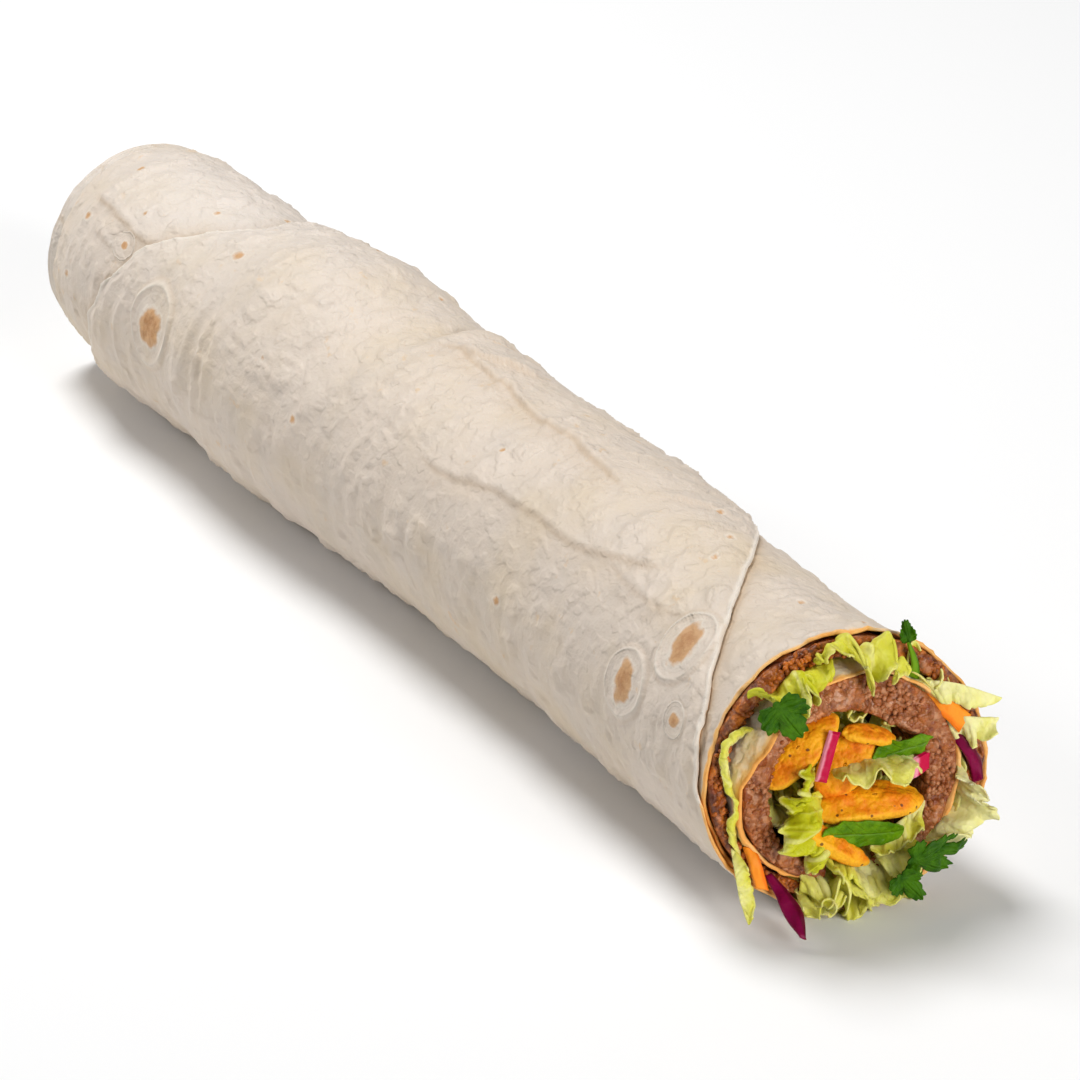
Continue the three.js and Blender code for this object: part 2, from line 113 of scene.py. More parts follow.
# Outer radius of the sheet at each winding angle: flap, outer turn, step inwards, inner turn.
WINDING = [
    (30, 26), (45, 25.6), (90, 25.1), (140, 24.9), (200, 24.7), (250, 25.1), (300, 25.5), (345, 25.5),
    (380, 24.6), (405, 24.05), (450, 23.5), (500, 23.3), (560, 23.1), (600, 22.7), (640, 21.6), (675, 20.8),
    (705, 20.3), (740, 19.2), (771, 18.3), (800, 17), (845, 16.3), (870, 16.9), (900, 18.1), (935, 19.2),
    (960, 19.2), (1000, 17.8),
]

# Thickness of the bulgur paste at each winding angle.
PASTE = [
    (270, 1), (300, 1.9), (345, 2.7), (405, 2.9), (450, 3.1), (500, 2.6), (560, 2.1), (600, 1.8),
    (630, 2.2), (690, 3.9), (732, 5.6), (764, 7), (801, 5.4), (841, 4.2), (906, 4.4), (930, 3.6),
    (950, 2.8), (975, 2.4),
]
PASTE_SPAN = (270, 975)
PASTE_CLEAR = 0.1  # between the paste and the sheet's inside, in millimetres

# How far each layer stands out of the mouth plane.
SHEET_OUT = [
    (30, 0), (532, 0), (548, -1.2), (592, -1.2), (640, 0.4), (700, 1.8), (780, 2.4), (835, 3), (864, 6.4),
    (896, 3.2), (990, 2.2),
]
PASTE_OUT = [(270, 0.4), (400, 0.8), (480, 0.9), (560, 0.4), (640, 0.9), (720, 2.2), (975, 2.2)]

INNER_BACK = 8.4  # how far the inner turn stays behind the tucked end

# The flap's curved edges: winding angle, x at the tucked end's side and at the open end's side.
FLAP_FAR = [
    (30, -62), (45, -70), (62, -76.5), (75, -76.5), (88, -75), (100, -78), (112, -82), (124, -87),
    (138, -92), (150, -95.5), (165, -99.5), (184, -104), (204, -108), (228, -115), (250, -122),
    (268, -130.4),
]
FLAP_NEAR = [
    (30, 54), (36, 62), (45, 70), (58, 78), (74, 87), (90, 94.6), (100, 99), (108, 102.6), (116, 105.6),
    (128, 109.4), (142, 114), (156, 117), (168, 118.6), (178, 120), (188, 123), (198, 128), (206, 140),
]

# Folds that run along the roll: points of (x, winding angle), height, and how far the raised side reaches.
FOLDS = [
    ([(-14, 90), (-7, 84), (3, 84.5), (12, 85.5), (21, 88.5), (28, 91), (36, 89), (46, 93), (62, 95)],
     1.0, 5),
    ([(12, 136.5), (26, 136), (35, 130.5), (44, 129.5), (54, 128.5), (64, 128), (73, 123), (88, 110)],
     0.7, 7),
    ([(60, 92), (66, 84), (72, 72), (80, 62)], 0.6, 5),
    ([(66, 128.5), (76, 126), (90, 127), (103, 118)], 0.45, 4),
    ([(-8, 88), (-1, 82), (6, 71), (15, 60)], 1.1, 5),
    ([(-122, 486), (-109, 489), (-98, 490.5), (-86, 492)], 0.9, 4),
    ([(-114, 499), (-105, 503), (-95, 505)], 0.45, 3),
]
# A pleat that the first fold starts from: centre x and angle, reach in x and in degrees, height.
PLEAT = (-13.5, 62, 13, 19, 2.4)

# Toasted blisters: x, angle, the ring's half width in mm and half height in degrees, its height, and the
# half width and half height of the toasted patch inside it.
BLISTERS = [
    (-79, 164, 6.8, 19, 0.5, 4.4, 10), (92.6, 161, 5.6, 14.5, 0.45, 3, 11),
    (102.4, 132, 5.6, 15, 0.45, 3.4, 12), (110, 159, 2.9, 7, 0.3, 1.8, 3.8),
    (18, 262, 6, 14, 0.6, 3.4, 9), (-52, 300, 5.4, 13, 0.5, 3, 8),
    (74, 322, 6, 15, 0.6, 3.4, 9), (-104, 20, 5, 11, 0.5, 2.8, 7),
    (36, 8, 5.6, 13, 0.5, 3, 8), (-98.3, 500, 3.2, 7, 0.5, 1.1, 2.2),
]
# Small toasted dots: x, angle, radius.
DOTS = [
    (-67, 113, 1.1), (-23, 158, 0.8), (-32, 55, 0.9), (-55, 56, 0.9), (50, 170, 0.9), (-98, 140, 0.8),
    (-87, 98, 0.8), (-115, 139, 1), (-80, 69, 0.8), (-117, 172, 0.9), (-99, 122, 0.7), (84, 82, 0.9),
    (74, 72, 0.8), (89, 96, 0.7), (119, 70, 1), (108, 82, 0.8), (-37.6, 145, 0.6), (30, 115, 0.7),
    (-114.8, 104, 0.9),
]

# ---- Salad and garnish in the mouth's own frame ----
# A point is (right, up, out), seen from outside. A leaf or strip is a surface through lines of points.

# Corn chips: place, size, turn and lean in degrees, how bowed and how deeply fluted.
CHIPS = [
    ((-7.7, 6, 1.4), (17, 7.4, 2.4), 37, 50, 0.8, 0.12),
    ((0.2, 1.8, 1.6), (14, 8, 2.2), 46, 30, 0.8, 0.1),
    ((4.6, 6.6, 2.4), (10, 4.6, 1.8), -17, 66, 0.5, 0.1),
    ((4, -4.9, 3.4), (19.5, 7.6, 3), -3, 60, 1.2, 0.3),
    ((-3.5, -10.6, 4.4), (14.5, 5.2, 2.8), -38, 62, 0.4, 0.35),
]

# Cut strips: slot, thickness, how wavy, and the lines along the two long sides.
STRIPS = {
    "radish_stick_1": ("radish", 1.3, 0.15, [
        [(-6.6, 1.4, 4.6), (-3.4, 9.4, 4.4)],
        [(-4.8, 0.8, 5), (-1.7, 8.8, 4.6)],
    ]),
    "radish_stick_2": ("radish", 1.3, 0.15, [
        [(11.6, -2.6, 3), (12, 1, 3)],
        [(15, -1.5, 2.6), (15.2, 1.6, 2.6)],
    ]),
    "carrot_strip_1": ("carrot", 1.4, 0.25, [
        [(-18.7, -9, 1.5), (-18.3, -12.4, 2.5), (-17.7, -16, 3)],
        [(-16.7, -9, 1), (-16.3, -12.4, 3), (-15.5, -16.8, 3.4)],
    ]),
    "carrot_strip_2": ("carrot", 1.4, 0.25, [
        [(15.6, 11, 1), (19.4, 9.8, 2.8), (22.8, 6.4, 3)],
        [(15.4, 8.6, 1), (18, 7, 3), (20.6, 3.8, 3)],
    ]),
    "cabbage_strip_1": ("red_cabbage", 0.9, 0.6, [
        [(-15, -15, 1), (-14.3, -18.2, 3.6), (-14, -20.8, 6), (-13.2, -23.4, 10)],
        [(-13.8, -14.8, 1), (-12.3, -17.4, 4.2), (-11.2, -20.4, 7), (-12.3, -23.6, 10.4)],
    ]),
    "cabbage_strip_2": ("red_cabbage", 0.9, 0.6, [
        [(17.8, 3.9, 0.5), (20.4, 1.5, 2), (22.3, -2, 2.4), (23.4, -6.4, 2)],
        [(19.4, 4.5, 0.5), (22.4, 1.9, 2.6), (24.6, -2.2, 2.8), (24.9, -5.6, 2)],
    ]),
    "parsley_stem": ("herb", 0.8, 0.4, [
        [(12.8, 14.4, 1), (12.6, 17.6, 3), (11.9, 21.4, 3)],
        [(14.8, 14, 1), (13.9, 17.6, 3), (12.5, 21.4, 3)],
    ]),
}

# Lettuce leaves: tone from 0, pale, to 1, deep lime; how ruffled; how much broader the waves are than
# usual; and the leaf's folds. The last line of each fold is its free lip.
LEAVES = [
    (0.85, 0.9, 1.0, [
        [[(-13, 13, -5), (-8, 16, -5), (-1, 18, -5)],
         [(-15.6, 17, 3), (-9, 19.2, 3.6), (-2, 20.4, 3)],
         [(-14.6, 14, 5.4), (-8, 13.4, 6.6), (-2.6, 14.4, 6)]],
    ]),
    (0.62, 1.0, 1.0, [
        [[(-1, 18, -5), (5, 17.2, -5), (11, 14, -5)],
         [(-4.4, 21.2, 3.4), (4, 23.4, 4.2), (11.4, 19.4, 4)],
         [(-0.6, 19.4, 5.6), (5, 18.4, 6.6), (12.6, 15.6, 5.2)]],
    ]),
    (0.5, 0.5, 1.0, [
        [[(-15.4, 10.2, 1), (-17.6, 9.4, 0.9), (-19.8, 7.6, 0.8), (-20.2, 4, 0.6), (-19.4, -0.4, 0.6),
          (-19.6, -4.6, 0.6), (-19, -9, 0.5)],
         [(-15.2, 11, 2.8), (-18.2, 10.6, 2.6), (-20.8, 8.6, 2.6), (-21.2, 4.4, 2.6), (-20.3, -0.4, 2.6),
          (-20.6, -4.8, 2.6), (-20, -9.4, 2.4)],
         [(-15, 11.6, 2.2), (-18.5, 11.4, 2.2), (-21.5, 9.2, 2), (-22, 4.6, 2.1), (-21.1, -0.4, 2.1),
          (-21.4, -5, 2.1), (-20.8, -9.8, 1.9)]],
    ]),
    (0.45, 0.9, 1.0, [
        [[(-20.6, -9.6, 1), (-21, -13, 3.2), (-20.6, -17, 3.4), (-19.2, -21.6, 2.6)],
         [(-19.1, -9.8, 1.6), (-18.8, -13.4, 4.2), (-18.6, -17, 4.2), (-18.6, -21, 3)]],
    ]),
    (0.5, 1.7, 1.0, [
        [[(-8, -16.6, -5), (-3, -18.2, -5), (3, -19.4, -5)],
         [(-8.6, -18.4, 3.4), (-3, -20.8, 4.4), (3, -21.6, 4)],
         [(-8, -21.4, 3.6), (-3, -23, 4.2), (2, -23.4, 4)]],
    ]),
    (0.45, 2.0, 1.0, [
        [[(-5, -14.6, -2), (2, -16, -3), (9, -14.4, -3)],
         [(-7, -16.8, 5), (0.6, -17.8, 6), (8.6, -16.4, 5)],
         [(-6.6, -19.6, 4.4), (0.6, -20.4, 5), (7.4, -18.8, 4.4)]],
        [[(-9, -14.6, 0), (-6, -16, 0), (-3, -16.6, 0)],
         [(-9.4, -17.2, 4.6), (-5.6, -18.4, 6.4), (-2.6, -18.8, 4.6)],
         [(-9.4, -19.4, 4.6), (-5.6, -21, 5.6), (-2.4, -20.6, 5)]],
        [[(-1, -16.4, 1), (2.4, -16.8, 1), (5.6, -16.2, 1)],
         [(-1.4, -18.4, 6.4), (2.6, -19.2, 7.4), (6.4, -18.4, 6.4)],
         [(-0.6, -20.6, 5.4), (2.8, -21.6, 6.4), (6.6, -20.8, 5)]],
        [[(5, -15, 2), (8, -14.2, 2), (10.4, -12.6, 2)],
         [(5.4, -16.6, 6), (8.8, -16.4, 6.8), (11.6, -14.4, 5.6)],
         [(6, -18.6, 5.6), (9.4, -18.4, 6), (12, -16.4, 5)]],
    ]),
    (0.3, 0.9, 1.0, [
        [[(13, 13.4, 0), (20, 12.4, 3.4), (28.2, 8.2, 3.2)],
         [(14, 9.2, 0.4), (20.4, 8.6, 4.6), (27.2, 6.2, 3.6)]],
    ]),
    (0.2, 0.9, 1.0, [
        [[(17.4, 7, 0.4), (22, 6.2, 3.6), (27, 5, 3.4)],
         [(18.4, 3.6, 0.4), (22.4, 1.4, 4.2), (26, 1.6, 3.6)]],
    ]),
    (0.05, 1.3, 1.0, [
        [[(19.6, -2, -3), (18.6, -8, -3), (13.4, -14.4, -3)],
         [(22.4, -3.6, 2.6), (22.6, -9, 3.6), (17.4, -15.6, 4)],
         [(24, -5.4, 3.4), (25.8, -10.6, 4.4), (24, -18.2, 4.4)]],
    ]),
    (1.15, 1.25, 1.0, [
        [[(-5.4, -2.4, 2), (-4.6, -6, 2), (-5.4, -9.4, 2)],
         [(-9.4, -1.8, 5.2), (-9.6, -6.4, 6.4), (-8.8, -10.6, 5.4)],
         [(-14.4, -1.6, 3.8), (-15.8, -6.8, 4.8), (-14.2, -12.4, 4)]],
        [[(-5.4, 2.4, 1), (-6, -0.6, 1), (-7.4, -3.6, 1)],
         [(-8.8, 4.2, 4.2), (-10, 0.8, 5), (-10.8, -3, 4.6)],
         [(-10.6, 5, 4.2), (-13.6, 1.2, 4.8), (-14.6, -2.6, 3.8)]],
        [[(-3.4, -7.4, 2.4), (-3, -10.4, 2.4), (-4, -13, 2)],
         [(-7, -7.6, 6.6), (-6.4, -11, 7), (-6.8, -13.8, 5.4)],
         [(-10.4, -8, 5.6), (-9.8, -13.2, 5.4), (-7.6, -16, 4.2)]],
    ]),
    (0.4, 0.95, 1.7, [
        [[(-1, 1.6, 0.6), (5, 2.6, 0.6), (12, 1.2, 0.6)],
         [(-2.2, -0.4, 5.4), (5, 1.4, 6.4), (12.4, -0.6, 5.4)],
         [(-3, -2.6, 7), (5, -1.4, 8.4), (13, -2.8, 7)]],
    ]),
    (0.5, 1.1, 1.0, [
        [[(5, -12, 2), (9, -10, 3), (13, -7.6, 3)],
         [(2.6, -15.6, 4.6), (8.6, -14.6, 5.2), (12.6, -12.6, 4.6)]],
    ]),
]

# Where small torn leaves are pressed in: from and to an angle, lowest and highest reach, how many.
SCRAP_ARCS = (
    (246, 318, 19.5, 22.6, 14), (20, 62, 20, 21.6, 4), (196, 262, 9.5, 12.5, 6), (4, 74, 8, 10.5, 6),
)

# Herb leaves: place, size, turn and lean in degrees, lobes round the outline and how deep it is cut.
HERBS = {
    "green_leaf_1": ((9.8, 2.9, 3), (12.5, 5.4), 8, -25, 0, 0.1),
    "green_leaf_2": ((1, -9.4, 5.8), (15.4, 5.8), -9, -22, 0, 0.015),
    "parsley_leaf_1": ((-12.8, 14.8, 9.6), (9.8, 9), -58, -14, 3, 0.3),
    "parsley_leaf_2": ((12.8, -15, 9.2), (13.4, 8.6), -4, -18, 5, 0.5),
    "parsley_leaf_3": ((7.2, -18.8, 9.6), (7.6, 6.2), -52, -14, 3, 0.35),
    "parsley_leaf_4": ((12.1, 23.2, 3.2), (4.6, 2.8), 100, 20, 3, 0.3),
}
HERB_FAN = 4.0  # radians that the lobes of a herb leaf spread over

# ---- Curves and noise ----


def cubic(t, start, end, leaving, arriving):
    """A cubic from a start to an end with a slope at each, for a share t of the way:
    (1 + 2t)(1 - t)^2 start + t(1 - t)^2 leaving + t^2(3 - 2t) end + t^2(t - 1) arriving."""
    before = (1 + 2 * t) * (1 - t) ** 2 * start + t * (1 - t) ** 2 * leaving
    return before + t * t * (3 - 2 * t) * end + t * t * (t - 1) * arriving


def hermite(rows, at):
    """A smooth curve through rows of (place, value): each slope is the mean of the two chords beside
    it, and the curve stays level past both ends."""
    places, values = np.array(rows, float).T
    chords = np.diff(values) / np.diff(places)
    slopes = np.concatenate([chords[:1], (chords[1:] + chords[:-1]) / 2, chords[-1:]])
    at = np.clip(at, places[0], places[-1])
    k = np.clip(np.searchsorted(places, at, side="right") - 1, 0, len(places) - 2)
    span = places[k + 1] - places[k]
    return cubic((at - places[k]) / span, values[k], values[k + 1], span * slopes[k], span * slopes[k + 1])


def straight(rows, at):
    """Straight stretches between rows of (place, value)."""
    places, values = np.array(rows, float).T
    return np.interp(at, places, values)


def through(points, shares):
    """A smooth curve through points along the first axis, at shares from 0 to 1: each slope is half
    the way from the point before to the point after."""
    points = np.asarray(points, float)
    last = len(points) - 1
    slopes = np.gradient(points, axis=0)
    place = np.clip(shares, 0, 1) * last
    k = np.minimum(place.astype(int), last - 1)
    t = (place - k).reshape(-1, *[1] * (points.ndim - 1))
    return cubic(t, points[k], points[k + 1], slopes[k], slopes[k + 1])


def eased(share):
    """A share kept between 0 and 1 and eased at both ends: 3s^2 - 2s^3."""
    share = np.clip(share, 0, 1)
    return share * share * (3 - 2 * share)


def ramp(value, start_and_reach):
    """Eases from 0 to 1 as a value goes from a start over a reach."""
    start, reach = start_and_reach
    return eased((value - start) / reach)


def bell(distance, width):
    """1 at no distance, falling off over the width: exp(-(d / w)^2)."""
    return np.exp(-((distance / width) ** 2))


def crowded(count, dense=0.0):
    """Shares from 0 to 1 for a number of rows: closer over the first and last seventh where dense is
    more than 0, and much closer over the last few rows at both ends, so that an edge shades crisply."""
    share = np.linspace(0, 1, 4001)
    edge = np.minimum(share, 1 - share)
    density = 1 + dense * np.exp(-((edge / 0.14) ** 4)) + 3 * np.exp(-edge * count / 2.5)
    total = np.cumsum(density) - density[0]
    return np.interp(np.linspace(0, 1, count), total / total[-1], share)


def shares(rows, columns):
    """Even shares from 0 to 1 down the rows of a grid, and across its columns."""
    return np.linspace(0, 1, rows)[:, None], np.linspace(0, 1, columns)[None, :]


def ringed(rings, around):
    """Even shares from 0 to 1 down the rings of a grid, and even turns in degrees round each."""
    turn = np.linspace(0, FULL_TURN, around, endpoint=False)
    return np.linspace(0, 1, rings)[:, None], turn[None, :]


def spread(*values):
    """Points from their coordinates: arrays or numbers that are stretched to fit one another."""
    return np.stack(np.broadcast_arrays(*values), axis=-1)


def hashed(cells, seed):
    """A number from 0 to 1 for each whole-number cell: its coordinates times odd numbers, mixed."""
    odd = np.array([73856093, 19349663, 83492791])[: cells.shape[-1]]
    mixed = cells.astype(np.int64) @ odd + seed * 15485863
    mixed = (mixed ^ (mixed >> 13)) * 1274126177
    mixed = (mixed ^ (mixed >> 16)) * 668265263
    return ((mixed ^ (mixed >> 15)) & 0xFFFFFF) / 0xFFFFFF


def noise(points, seed):
    """Value noise from -1 to 1: a number at each whole-number corner, eased together in between."""
    cell = np.floor(points)
    share = eased(points - cell)
    total = 0.0
    for corner in itertools.product((0, 1), repeat=points.shape[-1]):
        weight = np.prod(np.where(corner, share, 1 - share), axis=-1)
        total = total + weight * hashed(cell + corner, seed)
    return 2 * total - 1


def layered_noise(points, seed, layers=3):
    """Noise plus finer noise: each layer is twice as fine and half as high as the one before."""
    heights = [noise(points * 2**k + 7.3 * k, seed + k) / 2**k for k in range(layers)]
    return sum(heights) / (2 - 0.5 ** (layers - 1))


def scattered(points, seed, start, reach):
    """The unit cells round each point: for every step to a cell, the cell and a centre in it, which
    lies at random between the start and the reach past it."""
    home = np.floor(points)
    for step in itertools.product((-1, 0, 1), repeat=points.shape[-1]):
        cell = home + step
        moved = np.stack([hashed(cell, seed + k) for k in range(points.shape[-1])], axis=-1)
        yield cell, cell + start + reach * moved


def grains(points, seed):
    """Cellular noise with one grain centre in each unit cell. Gives each point's distance to the
    nearest centre, and that grain's own number from 0 to 1."""
    nearest = np.full(points.shape[:-1], 9.0)
    number = np.zeros_like(nearest)
    for cell, centre in scattered(points, seed, 0, 1):
        distance = np.linalg.norm(points - centre, axis=-1)
        number = np.where(distance < nearest, hashed(cell, seed + 11), number)
        nearest = np.minimum(nearest, distance)
    return nearest, number


def bubbles(points, share, seed):
    """Small blisters: in a share of the unit cells, a low dome with a raised ring round it. Each has a
    radius of its own, small enough to stay clear of its neighbours."""
    height = 0.0
    for cell, centre in scattered(points, seed, 0.3, 0.4):
        radius = 0.12 + 0.17 * hashed(cell, seed + 2)
        away = np.linalg.norm((points - centre) * (1, 0.8), axis=-1) / radius
        profile = bell(away - 1, 0.28) + 0.5 * np.clip(1 - away**2, 0, 1)
        height = height + (hashed(cell, seed + 3) < share) * profile * radius / 0.29
    return height


# ---- Places on the roll and at its mouth ----


def sheet_outer(angle):
    """The sheet's nominal outer radius at a winding angle."""
    return hermite(WINDING, angle)


def paste_outer(angle):
    """The paste's outer radius: the sheet's, less its thickness and a small clearance."""
    return sheet_outer(angle) - SHEET - PASTE_CLEAR


def paste_inner(angle):
    """The paste's inner radius: its outer one, less its own thickness."""
    return paste_outer(angle) - hermite(PASTE, angle)


def on_roll(angle, radius, x):
    """The point at a winding angle and a nominal radius: y = shift + girth spread r cos a and
    z = girth (belly + r sin a) - flat."""
    girth = hermite(GIRTH, x)
    turned = np.radians(angle)
    y = hermite(SHIFT, x) + girth * hermite(SPREAD, x) * radius * np.cos(turned)
    z = girth * (BELLY + radius * np.sin(turned)) - FLAT
    return spread(x, y, z) + ORIGIN


def mouth_x(angle, radius, out):
    """The roll's x where the mouth plane, moved out by a distance, cuts that line."""
    x = np.full(np.broadcast(angle, radius).shape, MOUTH[0])
    for _ in range(MOUTH_STEPS):
        point = on_roll(angle, radius, x) - ORIGIN
        x = MOUTH[0] + out + SLOPE_Y * (point[..., 1] - MOUTH[1]) + SLOPE_Z * (point[..., 2] - MOUTH[2])
    return x


def turn_between(a, b):
    """The turn that takes one unit direction to another: I + K + K^2 / (1 + a.b), where K crosses a
    vector with a x b."""
    x, y, z = np.cross(a, b)
    k = np.array([[0, -z, y], [z, 0, -x], [-y, x, 0]])
    return np.eye(3) + k + k @ k / (1 + a @ b)


MOUTH_NORMAL = np.array([1, -SLOPE_Y, -SLOPE_Z]) / math.hypot(1, SLOPE_Y, SLOPE_Z)
MOUTH_TURN = turn_between(np.array([1.0, 0, 0]), MOUTH_NORMAL)


def from_mouth(points):
    """Points of (right, up, out) in the mouth's own frame, carried to the roll's frame."""
    points = np.asarray(points, float)
    return points[..., [2, 0, 1]] @ MOUTH_TURN.T + MOUTH + ORIGIN


def settled(points, at, turn, lean):
    """Points that lie in XY, leaned back about X, turned about Z and set down in the mouth's frame."""
    c, s = math.cos(math.radians(-lean)), math.sin(math.radians(-lean))
    leaned = points @ np.array([[1, 0, 0], [0, c, -s], [0, s, c]]).T
    c, s = math.cos(math.radians(turn)), math.sin(math.radians(turn))
    turned = leaned @ np.array([[c, -s, 0], [s, c, 0], [0, 0, 1]]).T
    return from_mouth(turned + np.array(at))


# ---- Meshes ----
# A body is its points, its faces and its fields: a value at each point for each field's name.


def grid_ids(rows, columns, first=0):
    """The point numbers of a grid, row by row, counted from the first."""
    return first + np.arange(rows * columns).reshape(rows, columns)


def grid_faces(ids):
    """Quads of a grid of point numbers; they face where rows x columns points."""
    return np.stack([ids[:-1, :-1], ids[1:, :-1], ids[1:, 1:], ids[:-1, 1:]], axis=-1).reshape(-1, 4)


def border(ids):
    """The point numbers round the edge of a grid, in order."""
    return np.concatenate([ids[:-1, 0], ids[-1, :-1], ids[:0:-1, -1], ids[0, :0:-1]])


def unit(vectors):
    """Vectors divided by their own lengths."""
    return vectors / np.maximum(np.linalg.norm(vectors, axis=-1, keepdims=True), 1e-9)


def grid_normals(points):
    """The normal at each point of a grid: the cross product of its two slopes."""
    return unit(np.cross(np.gradient(points, axis=0), np.gradient(points, axis=1)))


def sheet_body(front, back, bulge, fields, back_fields=None):
    """A closed sheet between two grids, the back one as fine or half as fine. Round its edge runs a
    middle line, pushed out by the bulge. Each field is a grid of values for the front and, unless the
    back has its own, for the back. The middle line takes the front's."""
    front_ids = grid_ids(*front.shape[:2])
    back_ids = grid_ids(*back.shape[:2], first=front_ids.size)
    edge, back_edge = border(front_ids), border(back_ids)
    flat_front, flat_back = front.reshape(-1, 3), back.reshape(-1, 3)
    rim, back_rim = flat_front[edge], flat_back[back_edge - front_ids.size]
    half_as_fine = len(back_edge) < len(edge)
    if half_as_fine:
        halfway = (back_rim + np.roll(back_rim, -1, axis=0)) / 2
        back_rim = np.stack([back_rim, halfway], axis=1).reshape(-1, 3)
    along = unit(np.roll(rim, -1, axis=0) - np.roll(rim, 1, axis=0))
    normal = grid_normals(front).reshape(-1, 3)[edge]
    middle = (rim + back_rim) / 2 + np.cross(normal, along) * -bulge
    points = np.concatenate([flat_front, flat_back, middle])
    middle_ids = front_ids.size + back_ids.size + np.arange(len(middle))
    middle_next, back_next = np.roll(middle_ids, -1), np.roll(back_edge, -1)
    faces = [
        grid_faces(front_ids),
        grid_faces(back_ids)[:, ::-1],
        spread(np.roll(edge, -1), edge, middle_ids, middle_next),
    ]
    if half_as_fine:
        start, half, end = middle_ids[::2], middle_ids[1::2], middle_next[1::2]
        faces += [spread(half, start, back_edge), spread(end, half, back_next)]
        faces.append(spread(half, back_edge, back_next))
    else:
        faces.append(spread(middle_next, middle_ids, back_edge, back_next))
    packed = {}
    for name, values in fields.items():
        outside = np.broadcast_to(values, front.shape[:2]).ravel()
        inside = back_fields[name].ravel() if back_fields else outside
        packed[name] = np.concatenate([outside, inside, outside[edge]])
    return points, faces, packed


def thick_sheet(grid, half, bulge, **fields):
    """A closed sheet that reaches half its thickness to both sides of a grid of points."""
    normal = grid_normals(grid)
    return sheet_body(grid + normal * half, grid - normal * half, bulge, fields)


def globe_body(grid, pole, **fields):
    """A closed shape of rings of points, with a pole at the middle of its first ring and of its last.
    Each field is a grid of values, with one value for both poles."""
    rings, around = grid.shape[:2]
    ids = grid_ids(rings, around)
    ids = np.concatenate([ids, ids[:, :1]], axis=1)
    first = spread(rings * around, ids[0, 1:], ids[0, :-1])
    last = spread(rings * around + 1, ids[-1, :-1], ids[-1, 1:])
    points = np.concatenate([grid.reshape(-1, 3), grid[[0, -1]].mean(axis=1)])
    for name, values in fields.items():
        fields[name] = np.append(np.broadcast_to(values, grid.shape[:2]), (pole, pole))
    return points, [grid_faces(ids), first, last], fields


def merged(bodies):
    """Joins bodies into one: point numbers move up past the bodies before."""
    points, faces, fields = [], [], {}
    first = 0
    for body_points, body_faces, body_fields in bodies:
        points.append(body_points)
        faces.extend(group + first for group in body_faces)
        for key, values in body_fields.items():
            fields.setdefault(key, []).append(values)
        first += len(body_points)
    return np.concatenate(points), faces, {key: np.concatenate(rows) for key, rows in fields.items()}


def volume(points, faces):
    """The signed volume: each face, cut into triangles from its first corner, makes a tetrahedron
    with the origin."""
    total = 0.0
    for group in faces:
        for k in range(1, group.shape[1] - 1):
            a, b, c = (points[group[:, j]] for j in (0, k, k + 1))
            total += np.einsum("ij,ij->", a, np.cross(b, c))
    return total


FLOOR_EASE = 0.02  # square of how softly points settle on the floor, in millimetres


def above_floor(points):
    """Points below the floor are laid down on it: z becomes (z + sqrt(z^2 + ease)) / 2."""
    z = points[:, 2] - ORIGIN[2]
    return spread(points[:, 0], points[:, 1], ORIGIN[2] + (z + np.sqrt(z**2 + FLOOR_EASE)) / 2)


def new_piece(name, body, material, nodes):
    """A smooth-shaded mesh object of a body in millimetres, with a float attribute for each field. It
    rides on the root body and stands for the CAD nodes named."""
    points, faces, fields = body
    points = above_floor(points)
    if volume(points - points.mean(axis=0), faces) < 0:
        faces = [group[:, ::-1] for group in faces]
    corners = np.concatenate([group.ravel() for group in faces]).astype(np.int32)
    sides = np.concatenate([np.full(len(group), group.shape[1]) for group in faces])
    mesh = bpy.data.meshes.new(name)
    mesh.vertices.add(len(points))
    mesh.vertices.foreach_set("co", (points * MM).astype(np.float32).ravel())
    mesh.loops.add(len(corners))
    mesh.loops.foreach_set("vertex_index", corners)
    mesh.polygons.add(len(sides))
    mesh.polygons.foreach_set("loop_start", (np.cumsum(sides) - sides).astype(np.int32))
    mesh.update(calc_edges=True)
    mesh.polygons.foreach_set("use_smooth", np.ones(len(sides), bool))
    for field, values in fields.items():
        layer = mesh.attributes.new(field, "FLOAT", "POINT")
        layer.data.foreach_set("value", np.broadcast_to(values, len(points)).astype(np.float32))
    mesh.materials.append(material)
    piece = bpy.data.objects.new(name, mesh)
    bpy.context.scene.collection.objects.link(piece)
    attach(piece, "root")
    if nodes:
        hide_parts(*nodes)


# ---- Material nodes ----


